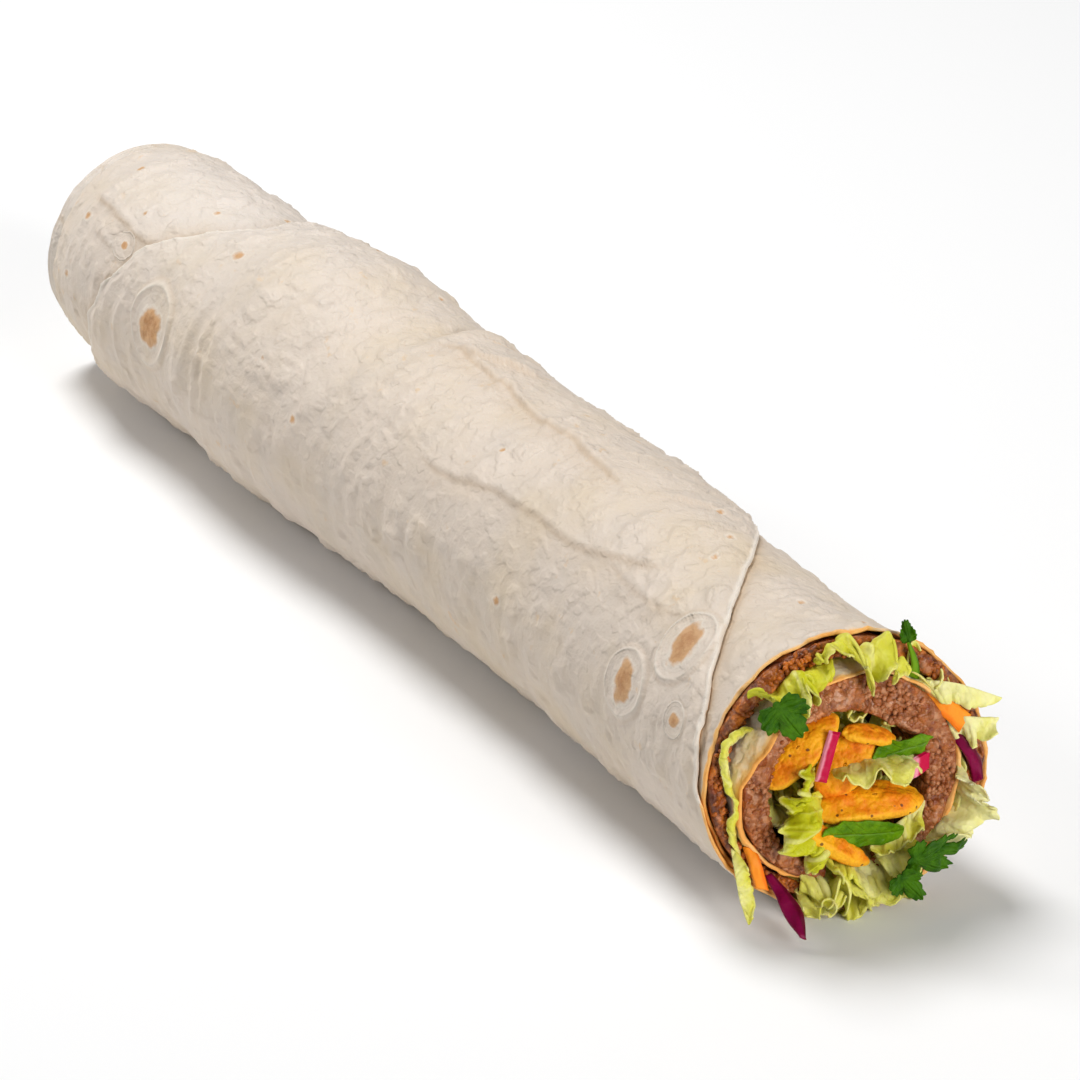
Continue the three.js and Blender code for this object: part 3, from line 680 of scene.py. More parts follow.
class Graph:
    """A node tree, with short ways to add nodes and join them. Textures are laid out by its place."""

    def __init__(self, tree, place=None):
        self.tree = tree
        self.place = place or self.add("ShaderNodeTexCoord").outputs["Object"]

    def add(self, kind, inputs=None, **settings):
        node = self.tree.nodes.new(kind)
        for key, value in settings.items():
            setattr(node, key, value)
        for key, value in (inputs or {}).items():
            self.feed(node.inputs[key], value)
        return node

    def feed(self, socket, value):
        if isinstance(value, bpy.types.NodeSocket):
            self.tree.links.new(value, socket)
        else:
            socket.default_value = value

    def math(self, operation, first, second=0.0, third=0.0, clamp=False):
        inputs = {0: first, 1: second, 2: third}
        return self.add("ShaderNodeMath", inputs, operation=operation, use_clamp=clamp).outputs[0]

    def vector_math(self, operation, first, second):
        return self.add("ShaderNodeVectorMath", {0: first, 1: second}, operation=operation).outputs[0]

    def blend(self, share, first, second):
        """Mixes two colours by a share."""
        node = self.add("ShaderNodeMix", data_type="RGBA", clamp_factor=True)
        for socket, value in ((node.inputs[6], first), (node.inputs[7], second)):
            self.feed(socket, value if isinstance(value, bpy.types.NodeSocket) else (*value, 1.0))
        self.feed(node.inputs[0], share)
        return node.outputs[2]

    def between(self, value, low, high, start=0.0, end=1.0):
        """Eases from the start to the end as the value goes from low to high."""
        inputs = {"Value": value, "From Min": low, "From Max": high, "To Min": start, "To Max": end}
        return self.add("ShaderNodeMapRange", inputs, interpolation_type="SMOOTHSTEP").outputs["Result"]

    def noise(self, scale, detail=3.0, rough=0.55, place=None):
        inputs = {"Vector": place or self.place, "Scale": scale, "Detail": detail, "Roughness": rough}
        return self.add("ShaderNodeTexNoise", inputs).outputs["Fac"]

    def stirred(self, value, cloud, amount):
        """A value moved up and down by noise: value + amount (cloud - 1/2)."""
        return self.math("ADD", value, self.math("MULTIPLY_ADD", cloud, amount, -amount / 2))

    def cells(self, scale, place=None, **settings):
        """A cellular texture's node, and the first number of each cell's own."""
        cell = self.add("ShaderNodeTexVoronoi", {"Vector": place or self.place, "Scale": scale}, **settings)
        return cell, self.add("ShaderNodeSeparateColor", {"Color": cell.outputs["Color"]}).outputs[0]

    def field(self, name):
        return self.add("ShaderNodeAttribute", attribute_name=name).outputs["Fac"]

    def effect(self, name, **inputs):
        """A shared node group of that name, laid out by the place. Gives its outputs."""
        tree = bpy.data.node_groups.get(name) or EFFECTS[name]()
        node = self.add("ShaderNodeGroup", {"Place": self.place}, node_tree=tree)
        for key, value in inputs.items():
            self.feed(node.inputs[key.replace("_", " ")], value)
        return node.outputs

    def patches(self, scale, level, softness):
        return self.effect("Patches", Per_Metre=scale, Level=level, Softness=softness)[0]

    def specks(self, scale, share, size):
        return self.effect("Specks", Per_Metre=scale, Share=share, Size=size)[0]


class Look(Graph):
    """A material with a Principled shader, whose constants are given as Blender names them with
    underscores for spaces. Scatter is the weight, radius and scale of its subsurface light."""

    def __init__(self, name, scatter=(), **constants):
        self.material = bpy.data.materials.new(name)
        self.material.use_nodes = True
        super().__init__(self.material.node_tree)
        self.shader = self.tree.nodes["Principled BSDF"].inputs
        constants.update(zip(("Subsurface_Weight", "Subsurface_Radius", "Subsurface_Scale"), scatter))
        for key, value in constants.items():
            self.shader[key.replace("_", " ")].default_value = value
        self.colour = None
        self.height = 0.0

    def lay(self, rgb, share, strength=None):
        """Lays a colour over the ones before, by a share times a strength."""
        if strength is not None:
            share = self.math("MULTIPLY", share, strength)
        self.colour = self.blend(share, self.colour, rgb)

    def lift(self, height, weight):
        self.height = self.math("MULTIPLY_ADD", height, weight, self.height)

    def finish(self, strength, distance):
        """Feeds the colours, and the heights as a bump of a strength and a distance in metres."""
        self.feed(self.shader["Base Color"], self.colour)
        inputs = {"Height": self.height, "Strength": strength, "Distance": distance}
        self.feed(self.shader["Normal"], self.add("ShaderNodeBump", inputs).outputs["Normal"])
        return self.material


def new_group(name, outputs, **defaults):
    """A shader node group with a Place and numbers of the given defaults for inputs, and numbers for
    outputs. Gives its graph and the sockets of its two ends."""
    tree = bpy.data.node_groups.new(name, "ShaderNodeTree")
    tree.interface.new_socket("Place", in_out="INPUT", socket_type="NodeSocketVector")
    for key, default in defaults.items():
        label = key.replace("_", " ")
        socket = tree.interface.new_socket(label, in_out="INPUT", socket_type="NodeSocketFloat")
        socket.default_value = default
    for key in outputs:
        tree.interface.new_socket(key, in_out="OUTPUT", socket_type="NodeSocketFloat")
    start = tree.nodes.new("NodeGroupInput").outputs
    end = tree.nodes.new("NodeGroupOutput").inputs
    return Graph(tree, start["Place"]), start, end


def patches_group():
    """Cloudy patches: a mask of soft noise, cut off at a level with a soft edge."""
    graph, start, end = new_group("Patches", ["Mask"], Per_Metre=80.0, Level=0.5, Softness=0.1)
    low, high = (graph.math(kind, start["Level"], start["Softness"]) for kind in ("SUBTRACT", "ADD"))
    graph.feed(end["Mask"], graph.between(graph.noise(start["Per Metre"], 4.0, 0.6), low, high))
    return graph.tree


SPECK_WOBBLE = (0.0006, 0.0006, 0.0006)  # how far noise moves a speck about, in metres


def specks_group():
    """Scattered specks: a round dot in some of the cells of a cellular pattern. Share is how many of
    the cells hold one, and Size is its radius as a share of a cell."""
    graph, start, end = new_group("Specks", ["Mask"], Per_Metre=400.0, Share=0.2, Size=0.3)
    wobble = graph.add("ShaderNodeTexNoise", {"Vector": graph.place, "Scale": start["Per Metre"]})
    offset = graph.vector_math("MULTIPLY", wobble.outputs["Color"], SPECK_WOBBLE)
    cell, number = graph.cells(start["Per Metre"], graph.vector_math("ADD", graph.place, offset))
    soft_size = graph.math("MULTIPLY", start["Size"], 0.6)
    dot = graph.between(cell.outputs["Distance"], soft_size, start["Size"], 1.0, 0.0)
    chosen = graph.math("LESS_THAN", number, start["Share"])
    graph.feed(end["Mask"], graph.math("MULTIPLY", chosen, dot))
    return graph.tree


def crumb_group():
    """Packed grains: rounded cells with a number of their own, for relief and for colour."""
    graph, start, end = new_group("Crumb", ["Height", "Tone"], Per_Metre=1000.0)
    cell, number = graph.cells(start["Per Metre"], feature="SMOOTH_F1")
    graph.feed(cell.inputs["Smoothness"], 0.25)
    squared = graph.math("MULTIPLY", cell.outputs["Distance"], cell.outputs["Distance"])
    graph.feed(end["Height"], graph.math("SUBTRACT", 1.0, squared))
    graph.feed(end["Tone"], number)
    return graph.tree


def islands_group():
    """Low soft islands: where soft noise rises over a level."""
    graph, start, end = new_group("Soft islands", ["Height"], Per_Metre=170.0, Level=0.54)
    over = graph.math("SUBTRACT", graph.noise(start["Per Metre"], 1.0, 0.4), start["Level"])
    graph.feed(end["Height"], graph.between(over, -0.05, 0.09))
    return graph.tree


EFFECTS = {
    "Patches": patches_group, "Specks": specks_group, "Crumb": crumb_group, "Soft islands": islands_group,
}


def flatbread_material(settings):
    """Floury flatbread: cream with warm and grey clouds, toasted where the toast field passes a wavy
    level, and stained orange by the paste towards its cut rim and on its inside. It is whiter over the
    top of the far end, as flour and a painted highlight, and painted lighter on the inner turn, which
    lies in shade inside the mouth. Painted shade lies below the folds and round each blister's ring,
    painted shadow beside the flap's free edges, and a painted highlight along those edges. The edge field
    is more than 0 on the flap and less than 0 beside it; the loop field is 1 on a blister's ring."""
    look = Look("flatbread", (0.05, (1.0, 0.7, 0.45), 0.0008), Roughness=0.62)
    look.colour = settings.cream
    look.lay(settings.warm, look.patches(38.0, 0.56, 0.16))
    look.lay(settings.grey, look.patches(90.0, 0.56, 0.16), 0.4)
    look.lay(settings.golden, look.patches(260.0, 0.69, 0.05), 0.55)
    # Flour colour: flour and a painted highlight over the top of the far end, painted light on the inner
    # turn.
    flour = look.field("flour")
    look.lay(settings.flour, flour, 0.8)
    # Painted light: a lighter cream on the inner turn, which lies in shade inside the mouth.
    look.lay(settings.bare, look.between(flour, 1.1, 1.5))
    # Painted shade below each fold's crest and in the tucked end's pleats.
    look.lay(settings.fold, look.field("crease"), 0.6)

    edge = look.field("edge")
    on_flap = look.math("GREATER_THAN", edge, -0.004)
    # A painted highlight along the flap's free edges.
    look.lay(settings.edge, look.math("MULTIPLY", look.between(edge, 0.1, 0.9, 0.8, 0.0), on_flap))
    # Painted shadow on the turn below, beside the flap's free edges: a close dark band and a wide faint one.
    close, wide = (
        look.math("SUBTRACT", look.between(edge, -reach, -0.1), on_flap, clamp=True) for reach in (2.2, 7.0)
    )
    look.lay(settings.fold, look.math("MULTIPLY_ADD", close, 0.5, look.math("MULTIPLY", wide, 0.25)))
    loop = look.field("loop")
    outer, inner, trough = (
        look.between(look.math("ABSOLUTE", look.math("SUBTRACT", loop, at)), 0.0, width, strength, 0.0)
        for at, width, strength in ((1.0, 0.08, 1.0), (0.79, 0.06, 0.25), (1.15, 0.09, 0.2))
    )
    broken = look.between(look.noise(130.0, 2.0), 0.36, 0.56, 0.35, 1.0)
    ridge = look.math("MULTIPLY", look.math("ADD", outer, inner), broken)
    # Painted shade in the trough just outside each blister's ring.
    look.lay(settings.fold, trough)
    look.lay(settings.halo, ridge, 0.6)

    ragged = look.noise(700.0, 4.0, 0.65)
    toast = look.stirred(look.field("toast"), ragged, 0.5)
    look.lay(settings.halo, look.between(toast, 0.15, 0.4), 0.5)
    look.lay(settings.toast, look.between(toast, 0.3, 0.75))
    look.lay(settings.char, look.between(look.stirred(toast, ragged, 1.2), 0.75, 1.5), 0.8)

    oiled = look.stirred(look.field("oil"), look.noise(420.0), 0.6)
    look.lay(settings.oil, look.between(oiled, 0.15, 0.5, 0.0, 0.85))
    look.lay(settings.paste, look.between(oiled, 0.5, 0.85, 0.0, 0.9))

    look.lift(look.effect("Soft islands", Per_Metre=420.0, Level=0.55)[0], 0.3)
    look.lift(look.effect("Soft islands")[0], 0.45)
    look.lift(look.noise(420.0), 0.5)
    look.lift(look.noise(1300.0, 2.0, 0.6), 0.4)
    look.lift(ridge, 0.5)
    return look.finish(0.68, 0.0005)


def paste_material(settings):
    """Bulgur paste: brick-red paste with paler, pinkish grains, painted shade where grains meet, in
    fissures and in dark patches, orange oil in patches that is partly a painted highlight, and specks
    of charred pepper. The ring field runs from 0 in the outer turn to 1 in the inner one."""
    look = Look("bulgur_paste", (0.1, (1.0, 0.4, 0.15), 0.0008), Specular_IOR_Level=0.4, Coat_Roughness=0.22)
    crumb = look.effect("Crumb", Per_Metre=750.0)
    ring = look.field("ring")

    def by_ring(slope, start):
        return look.math("MULTIPLY_ADD", ring, slope, start)

    look.colour = look.blend(ring, settings.deep, settings.light)
    tone = look.math("MULTIPLY_ADD", crumb["Tone"], 0.55, look.math("MULTIPLY", look.field("tone"), 0.45))
    look.lay(settings.red, look.between(tone, 0.2, 0.5, 1.0, 0.0), 0.85)
    look.lay(settings.grain, look.between(tone, 0.56, 0.75), by_ring(0.4, 0.35))
    outer = by_ring(-0.55, 0.85)
    # Orange oil in patches, most on the outer turn, partly a painted highlight.
    look.lay(settings.oil, look.patches(380.0, 0.57, 0.07), outer)
    # Painted shade in dark patches, most on the outer turn.
    look.lay(settings.shade, look.patches(290.0, 0.58, 0.06), outer)
    # Painted shade between grains and in fissures.
    look.lay(settings.shade, look.field("hollow"), by_ring(-0.25, 0.7))
    look.lay(settings.pepper, look.specks(300.0, 0.12, 0.3), 0.9)
    look.feed(look.shader["Roughness"], look.between(crumb["Tone"], 0.1, 0.9, 0.36, 0.56))
    look.feed(look.shader["Coat Weight"], look.between(crumb["Tone"], 0.3, 0.9, 0.0, 0.3))
    look.height = crumb["Height"]
    look.lift(look.effect("Crumb", Per_Metre=2000.0)["Height"], 0.25)
    look.lift(look.noise(900.0, 4.0, 0.6), 0.4)
    return look.finish(0.9, 0.0007)


def grain_material(settings):
    """Loose bulgur grains: pinkish amber and slightly clear, each with a tone of its own."""
    look = Look("bulgur_grain", (0.3, (1.0, 0.5, 0.25), 0.0008), Roughness=0.45, Specular_IOR_Level=0.4)
    ring = look.field("ring")
    body = look.blend(ring, settings.deep, settings.light)
    pale = look.blend(ring, settings.oil, settings.grain)
    look.colour = look.blend(look.between(look.field("tone"), 0.3, 1.0, 0.0, 0.6), body, pale)
    look.height = look.noise(1500.0, 2.0)
    look.lay(settings.red, look.between(look.height, 0.45, 0.7, 0.0, 0.4))
    return look.finish(0.3, 0.0002)


def lettuce_material(settings):
    """Lettuce: pale at its root and along its veins, limier towards its lip, by the leaf's own tone,
    with a painted highlight in pale along the lip itself.
    """
    look = Look("lettuce", (0.35, (0.8, 1.0, 0.3), 0.0012), Roughness=0.47, Specular_IOR_Level=0.32)
    share = look.stirred(look.field("green"), look.noise(260.0), 0.5)
    look.colour = look.blend(look.between(share, 0.0, 0.55), settings.pale, settings.yellow)
    look.lay(settings.lime, look.between(share, 0.5, 1.1))
    look.lay(settings.pale, look.between(look.field("vein"), 0.3, 0.9), 0.4)
    lip = look.field("lip")
    # A painted highlight in pale along each leaf's lip.
    look.lay(settings.pale, look.between(lip, 0.9, 1.0, 0.0, 0.4))
    torn = look.math("MULTIPLY", look.between(look.noise(600.0), 0.5, 0.62), look.between(lip, 0.82, 1.0))
    bruised = look.math("MAXIMUM", look.patches(330.0, 0.72, 0.04), torn)
    look.lay(settings.bruise, look.math("MULTIPLY", bruised, look.field("bruise")), 0.6)
    look.height = look.noise(520.0, 2.0)
    look.lift(look.noise(1300.0), 0.6)
    return look.finish(0.6, 0.0006)


def herb_material(name, dark, light, roughness):
    """A herb leaf: deep green clouded with a lighter green, with pale veins pressed into it."""
    look = Look(name, (0.05, (0.4, 1.0, 0.1), 0.0006), Roughness=roughness, Specular_IOR_Level=0.12)
    look.colour = look.blend(look.patches(380.0, 0.5, 0.2), dark, light)
    vein = look.field("vein")
    look.lay(light, vein, 0.45)
    look.height = look.math("SUBTRACT", look.noise(1300.0, 2.0), vein)
    return look.finish(0.5, 0.0003)


def chip_material(settings):
    """A fried corn chip: orange with darker toasted clouds, paler rims and dark red pepper."""
    look = Look("corn_chip", (0.1, (1.0, 0.5, 0.15), 0.001), Roughness=0.55, Specular_IOR_Level=0.25)
    look.colour = settings.chip
    look.lay(settings.toasted, look.patches(260.0, 0.52, 0.14))
    look.lay(settings.browned, look.patches(520.0, 0.66, 0.07), 0.35)
    look.lay(settings.gold, look.between(look.field("rim"), 0.4, 1.0), 0.5)
    look.lay(settings.pepper, look.specks(700.0, 0.3, 0.24), 0.85)
    look.height = look.noise(800.0, 4.0, 0.65)
    look.lift(look.effect("Crumb", Per_Metre=1300.0)["Height"], 0.7)
    return look.finish(0.7, 0.0004)


def pickle_material(name, flesh, skin, roughness, streaks, start=0.55):
    """A cut strip of radish, carrot or cabbage: its flesh streaked by drawn-out noise, and a darker
    skin that sets in at a share of the way across."""
    look = Look(name, (0.25, (1.0, 0.4, 0.4), 0.001), Roughness=roughness, Specular_IOR_Level=0.15)
    look.height = look.noise(1.0, place=look.vector_math("MULTIPLY", look.place, streaks))
    share = look.stirred(look.between(look.field("across"), start, start + 0.4), look.height, 0.9)
    look.colour = look.blend(look.between(share, 0.1, 0.9), flesh, skin)
    return look.finish(0.35, 0.0003)


# ---- The flatbread ----

# Ramps over the winding angle: where each starts and how far it reaches, in degrees.
FAR_LOOSE, NEAR_LOOSE = (240, 28), (184, 22)  # the flap's two edges stop lying down on the turn below
PRESSED, LET_GO = (158, 24), (234, 24)  # the flap is pressed on the turn below it at the open end
STEPPED_OFF = (542, 10)  # the outer turn leaves the rim to step inwards
SET_BACK = (618, 20)  # the inner turn draws back from the tucked end
BARE = (620, 60)  # the flour colour gives way to a lighter cream, painted light on the inner turn, which lies in shade inside the mouth
OILY_RIM = (800, 60)  # the inner turn's rim is oily outside as well
WIDER_END = (256, 24)  # the tucked end follows the flap rather than the outer turn
INNER_PASTE = (600, 90)  # the paste changes from the outer turn's looks to the inner one's

FLARE = 2.3  # how much wider the inner turn is behind its rim, where it leans in towards the salad
FLARED, FLARE_WIDE = 862, 40  # the middle and half width of that, in degrees
RIM_FOLLOWED = 99  # how far from the rim the distance to it is followed, in millimetres
HUG = 2.2  # how far in from its free edges the flap lies down on the turn below
HUG_THIN = 0.35  # how much thinner it is there
CLEAR = 0.06  # between the flap and the turn that it lies on
LIP = 2.6  # how far the crimped lip reaches back from the rim
LIP_THIN = 0.55  # how much thinner it is there
PRESS_REACH = 14  # how far behind the rim the flap is pressed on the turn below it
FOLD_FADE = 9  # how far a fold takes to rise from each of its ends
OFF_FLAP = -50  # the edge distance where no free edge of the flap is near
NO_LOOP = 3.0  # the loop field where no blister is near


def edge_wave(angle):
    """How unevenly the flap's edges are cut: noise along the winding."""
    return 0.7 * noise(spread(angle / 9, 0), 6)


def rim_x(angle):
    """The roll's x at the sheet's outside where the mouth plane cuts it."""
    return mouth_x(angle, sheet_outer(angle), straight(SHEET_OUT, angle))


def flap_edges(angle):
    """The sheet's two ends along X at a winding angle: the flap's curved edges, or the tucked end and
    the rim."""
    rim = rim_x(angle) + 0.45 * noise(spread(angle / 17, 0), 5)
    wave = edge_wave(angle)
    far = np.where(angle < FLAP_FAR[-1][0], hermite(FLAP_FAR, angle) + wave, FLAP_FAR[-1][1])
    far = far + INNER_BACK * ramp(angle, SET_BACK)
    near = np.where(angle < FLAP_NEAR[-1][0], hermite(FLAP_NEAR, angle) + 0.6 * wave, rim)
    return np.maximum(far, FLAP_FAR[-1][1]), np.minimum(near, rim)


def fold_relief(x, angle):
    """Each fold is a line along the roll: above it the bread rises slowly to a crest, below it the
    crest drops quickly into a shallow valley. Gives the height and a mask of painted shade below it."""
    height = 0.0
    crease = 0.0
    wander = 0.45 * noise(spread(x / 4.2, 0), 3)
    for line, tall, reach in FOLDS:
        ends = eased((x - line[0][0]) / FOLD_FADE) * eased((line[-1][0] - x) / FOLD_FADE)
        above = (hermite(line, x) - angle) * ARC + wander
        crest = np.exp(-np.maximum(above, 0) / reach) * np.exp(np.minimum(above, 0) / 0.9)
        profile = crest + 0.3 * bell(above - 0.3, 0.6) - 0.16 * bell(above + 1.4, 1)
        height = height + 0.75 * tall * ends * profile
        shaded = np.maximum(bell(above + 0.8, 0.65), 0.3 * bell(above + 2.4, 2.2))
        crease = np.maximum(crease, ends * shaded * min(1, tall))
    x0, angle0, reach, span, tall = PLEAT
    from_edge = x - x0 - 0.03 * (angle - angle0)
    rise = 1 / (1 + np.exp(-from_edge / 0.6))
    profile = rise * np.exp(-np.maximum(from_edge, 0) / reach) - 0.3 * bell(from_edge + 2, 1.6)
    fan = bell(angle - angle0, span)
    # The pleat adds its own height, and painted shade below its edge.
    return height + tall * fan * profile, np.maximum(crease, 0.8 * bell(from_edge + 0.9, 0.9) * fan)


def turned_from(angle, other):
    """Degrees from another angle round the roll, from -180 to 180."""
    return (angle - other + FULL_TURN / 2) % FULL_TURN - FULL_TURN / 2


def blister_relief(x, angle):
    """Each blister is an uneven oval: a raised ring, and a low dome in the middle, which is toasted.
    Gives the height, how toasted the bread is, a share that is low where a blister stretches the
    bread smooth, and how far out a point is, where 1 is on the ring."""
    height = 0.0
    toast = 0.0
    calm = 1.0
    loop = np.full(np.broadcast(x, angle).shape, NO_LOOP)
    laid = spread(x, angle * ARC)
    ragged = noise(laid / 1.9, 21) + 0.6 * noise(laid / 0.9, 22)
    uneven = 0.1 * noise(laid / 5, 23)
    for x0, angle0, wide, high, tall, patch_wide, patch_high in BLISTERS:
        turned = turned_from(angle, angle0)
        away = np.hypot((x - x0) / wide, turned / high) * (1 + uneven)
        loop = np.minimum(loop, away)
        height = height + tall * (bell(away - 1, 0.1) - 0.3 * bell(away - 1.2, 0.14))
        core = (np.abs((x - x0) / patch_wide) ** 2.6 + np.abs(turned / patch_high) ** 2.6) ** (1 / 2.6)
        height = height + 0.4 * tall * np.clip(1 - core**2, 0, 1) * (1 + 0.8 * ragged)
        toast = np.maximum(toast, 1.5 * (1 - core) + (0.25 + 0.22 * ragged) * (core < 1.5))
        calm = calm * np.clip((away - 1.1) / 0.7, 0.15, 1)
    for x0, angle0, radius in DOTS:
        away = np.hypot(x - x0, turned_from(angle, angle0) * ARC)
        toast = np.maximum(toast, 0.9 - 0.45 * away / radius + 0.12 * ragged)
        height = height + 0.15 * bell(away - 1.6 * radius, 0.5)
    return height, np.clip(toast, 0, 1.2), calm, loop


def bread_relief(x, angle, lively):
    """Height of the bread's outer face over its nominal radius. Broad lumps go right through every
    turn, and where the sheet shows it also has wrinkles drawn out round the roll, small bubbles,
    folds and blisters. Gives height, toast, painted shade below folds and how far out a point is in its
    blister."""
    turned = np.radians(angle)
    wound = spread(x, BODY * np.cos(turned), BODY * np.sin(turned))
    lumps = 0.5 * noise(wound / 26, 1) + 0.32 * noise(wound / 11, 2)
    laid = spread(x, angle * ARC)
    side = angle % FULL_TURN
    warp = 2.4 * noise(laid / 15, 8) + 0.35 * noise(laid / 6, 7)
    ridged = 1 - np.abs(noise(spread((x + warp + 0.1 * side) / 5.0, angle * ARC / 26), 9))
    where = bell(x + 50, 48) * (0.3 + 0.7 * bell(side - 140, 55))
    where = np.maximum(where, 0.9 * bell(x + 115, 13) * bell(side - 125, 40))
    wrinkles = (0.16 + 0.9 * where) * (ridged**1.6 - 0.45)
    wrinkles = wrinkles + 0.08 * noise(spread((x + warp) / 2.1, angle * ARC / 5), 10)
    skewed = laid + 0.8 * spread(noise(laid / 3, 14), noise(laid / 3, 15))
    blebs = 0.5 * bubbles(skewed / 8.5, 0.62, 12) + 0.38 * bubbles(skewed / 4.6 + 3.1, 0.6, 16)
    folds, crease = fold_relief(x, angle)
    blisters, toast, calm, loop = blister_relief(x, angle)
    return lumps + lively * (calm * (wrinkles + blebs) + blisters) + folds, toast, crease, loop


def edge_distance(angle, x):
    """Millimetres to the flap's free edge: more than 0 on the flap, less than 0 on the turn below it
    beside the edge. A distance along X is made square to the edge by 1 / sqrt(1 + slope^2)."""
    flap = angle < FLAP_END
    turned = np.where(flap, angle, angle - FULL_TURN)
    sides = []
    for rows, sign in ((FLAP_FAR, 1), (FLAP_NEAR, -1)):
        slope = (hermite(rows, turned + 1) - hermite(rows, turned - 1)) / (2 * ARC)
        edge = flap_edges(turned)[0] if sign > 0 else hermite(rows, turned) + 0.6 * edge_wave(turned)
        sides.append(sign * (x - edge) / np.hypot(1, slope))
    inside = np.minimum(np.minimum(*sides), (turned - FLAP_START) * ARC)
    below = np.where(angle < INNER_START, np.minimum(inside, -0.01), OFF_FLAP)
    return np.where(flap, np.maximum(inside, 0), below)


def bread_face(angle, share, depth):
    """One face of the sheet, at depth 0 outside or 1 inside, on a grid of winding angles by shares of
    the way from its far edge to its near one. It thins towards its free edges, where it lies down on
    the turn below, and towards the crimped rim at the mouth. Gives its points and its fields."""
    far, near = (edge[:, None] for edge in flap_edges(angle[:, 0]))
    angle = np.broadcast_to(angle, (len(angle), share.size))
    x = far + (near - far) * share
    height, toast, crease, loop = bread_relief(x, angle, 1 - 0.6 * depth)
    hug = bell(x - far, HUG) * (1 - ramp(angle, FAR_LOOSE))
    hug = np.maximum(hug, bell(near - x, HUG) * (1 - ramp(angle, NEAR_LOOSE)))
    hug = np.maximum(hug, bell((angle - FLAP_START) * ARC, HUG))
    rim = np.clip(rim_x(angle) - x, 0, RIM_FOLLOWED)
    lip = bell(rim, LIP)
    thick = SHEET - HUG_THIN * hug - LIP_THIN * lip
    outer = sheet_outer(angle) + height - 0.25 * lip + 0.4 * lip * noise(spread(angle / 8, rim / 6), 31)
    outer = outer + FLARE * bell(angle - FLARED, FLARE_WIDE) * (1 - np.exp(-rim / 5))
    below = sheet_outer(angle + FULL_TURN) + bread_relief(x, angle + FULL_TURN, 1)[0] + thick + CLEAR
    pressed = ramp(angle, PRESSED) * (1 - ramp(angle, LET_GO)) * bell(rim, PRESS_REACH)
    down = np.where(angle < FLAP_END, np.maximum(hug, pressed), 0)
    radius = outer + down * (below - outer) - depth * thick
    radius = radius + 0.3 * hug**8 * (1 - depth)
    points = on_roll(angle, radius, x)
    floor = points[..., 2] - 0.25
    points[..., 2] = 0.5 * (floor + np.sqrt(floor**2 + 0.1)) + 0.1 + 0.8 * depth * (floor < 0.5)
    if depth:
        oil = 0.1 + 0.6 * np.exp(-rim / 6)
    else:
        oil = 0.7 * np.exp(-rim / 0.5) + np.where(angle > INNER_START, 0.1 * np.exp(-rim / 12), 0)
        oil = oil + 0.6 * ramp(angle, STEPPED_OFF) * (angle < INNER_START) * np.exp(-rim / 2.5)
        oil = oil + 0.3 * ramp(angle, OILY_RIM) * np.exp(-rim / 4)
    # Whiter over the top of the far end: flour, and a painted highlight where the lamp above falls.
    flour = 0.55 * bell(x + 92, 48) * bell(angle % FULL_TURN - 88, 58)
    # On the inner turn the field passes 1: the flour colour, then the lighter cream, both painted light in
    # its shade.
    flour = np.where(angle > INNER_START, 1 + ramp(angle, BARE), flour)
    fields = {"toast": toast, "crease": crease, "loop": loop, "oil": oil, "flour": flour}
    return points, {**fields, "edge": edge_distance(angle, x)}


def flatbread_body(start, end, columns, rows):
    """A closed length of the sheet between two winding angles, with the inside half as fine. Its cut
    edge is a little less oily than its outside."""
    angle = start + (end - start) * crowded(columns)[:, None]
    share = crowded(rows, 1.2)[None, :]
    front, outside = bread_face(angle, share, 0)
    back, inside = bread_face(angle[::2], share[:, ::2], 1)
    points, faces, fields = sheet_body(front, back, 0.3, outside, inside)
    fields["oil"][(front.size + back.size) // 3 :] *= 0.95
    return points, faces, fields


def tucked_end():
    """The end that is folded in: rings of points from inside the roll's lip to a dimple in the middle.
    Uneven pleats run inwards, each a slow rise and a quick drop, and twist a little."""
    pleats, lip = 9, 0.12
    share, turn = ringed(60, 240)
    reach = np.where(share < lip, 0.93 + 0.3 * share, 0.966 * (1 - (share - lip) / (1 - lip)) ** 0.9)
    inside = eased(share / lip)
    spin = turn + 34 * share + 7 * noise(spread(turn / 50, 3 * share), 41)
    phase = (spin * pleats / FULL_TURN + 0.16 * np.sin(np.radians(3 * spin))) % 1
    pleat = eased(phase / 0.8) * eased((1 - phase) / 0.2)
    bulge = 1.5 * np.sin(np.pi * np.clip(reach, 0, 1) ** 1.4) - 1.9 * (1 - eased(reach / 0.35))
    across = spread(reach * np.cos(np.radians(turn)) * 4, reach * np.sin(np.radians(turn)) * 4)
    raised = 1.4 * pleat * np.clip(reach, 0, 1) ** 0.6 * np.clip(1.5 * (1 - reach), 0.25, 1)
    height = inside * (bulge + raised + 0.6 * layered_noise(across, 43))
    wider = ramp(turn, WIDER_END)
    radius = reach * ((1 - wider) * sheet_outer(turn + FULL_TURN) + wider * sheet_outer(turn))
    outside = on_roll(turn, radius, np.full_like(height, FAR_END + 4.0))
    outside[..., 0] = FAR_END + 2.4 - 3.2 * inside - height + ORIGIN[0]
    chosen = hashed(np.floor(spin * pleats / FULL_TURN)[..., None], 4) > 0.5
    fields = {
        "toast": 0.8 * chosen * bell(phase - 0.52, 0.12) * bell(reach - 0.62, 0.1),
        # Painted shade at each pleat's quick drop.
        "crease": 0.8 * inside * bell(phase - 0.97, 0.04),
    }
    both = {name: np.concatenate([values[::-1], values]) for name, values in fields.items()}
    wall = outside[::-1] + np.array([SHEET, 0, 0])
    points, faces, fields = globe_body(np.concatenate([wall, outside]), 0, **both)
    return points, faces, {**fields, "oil": 0, "flour": 0.5, "edge": OFF_FLAP, "loop": NO_LOOP}


# ---- The bulgur paste ----

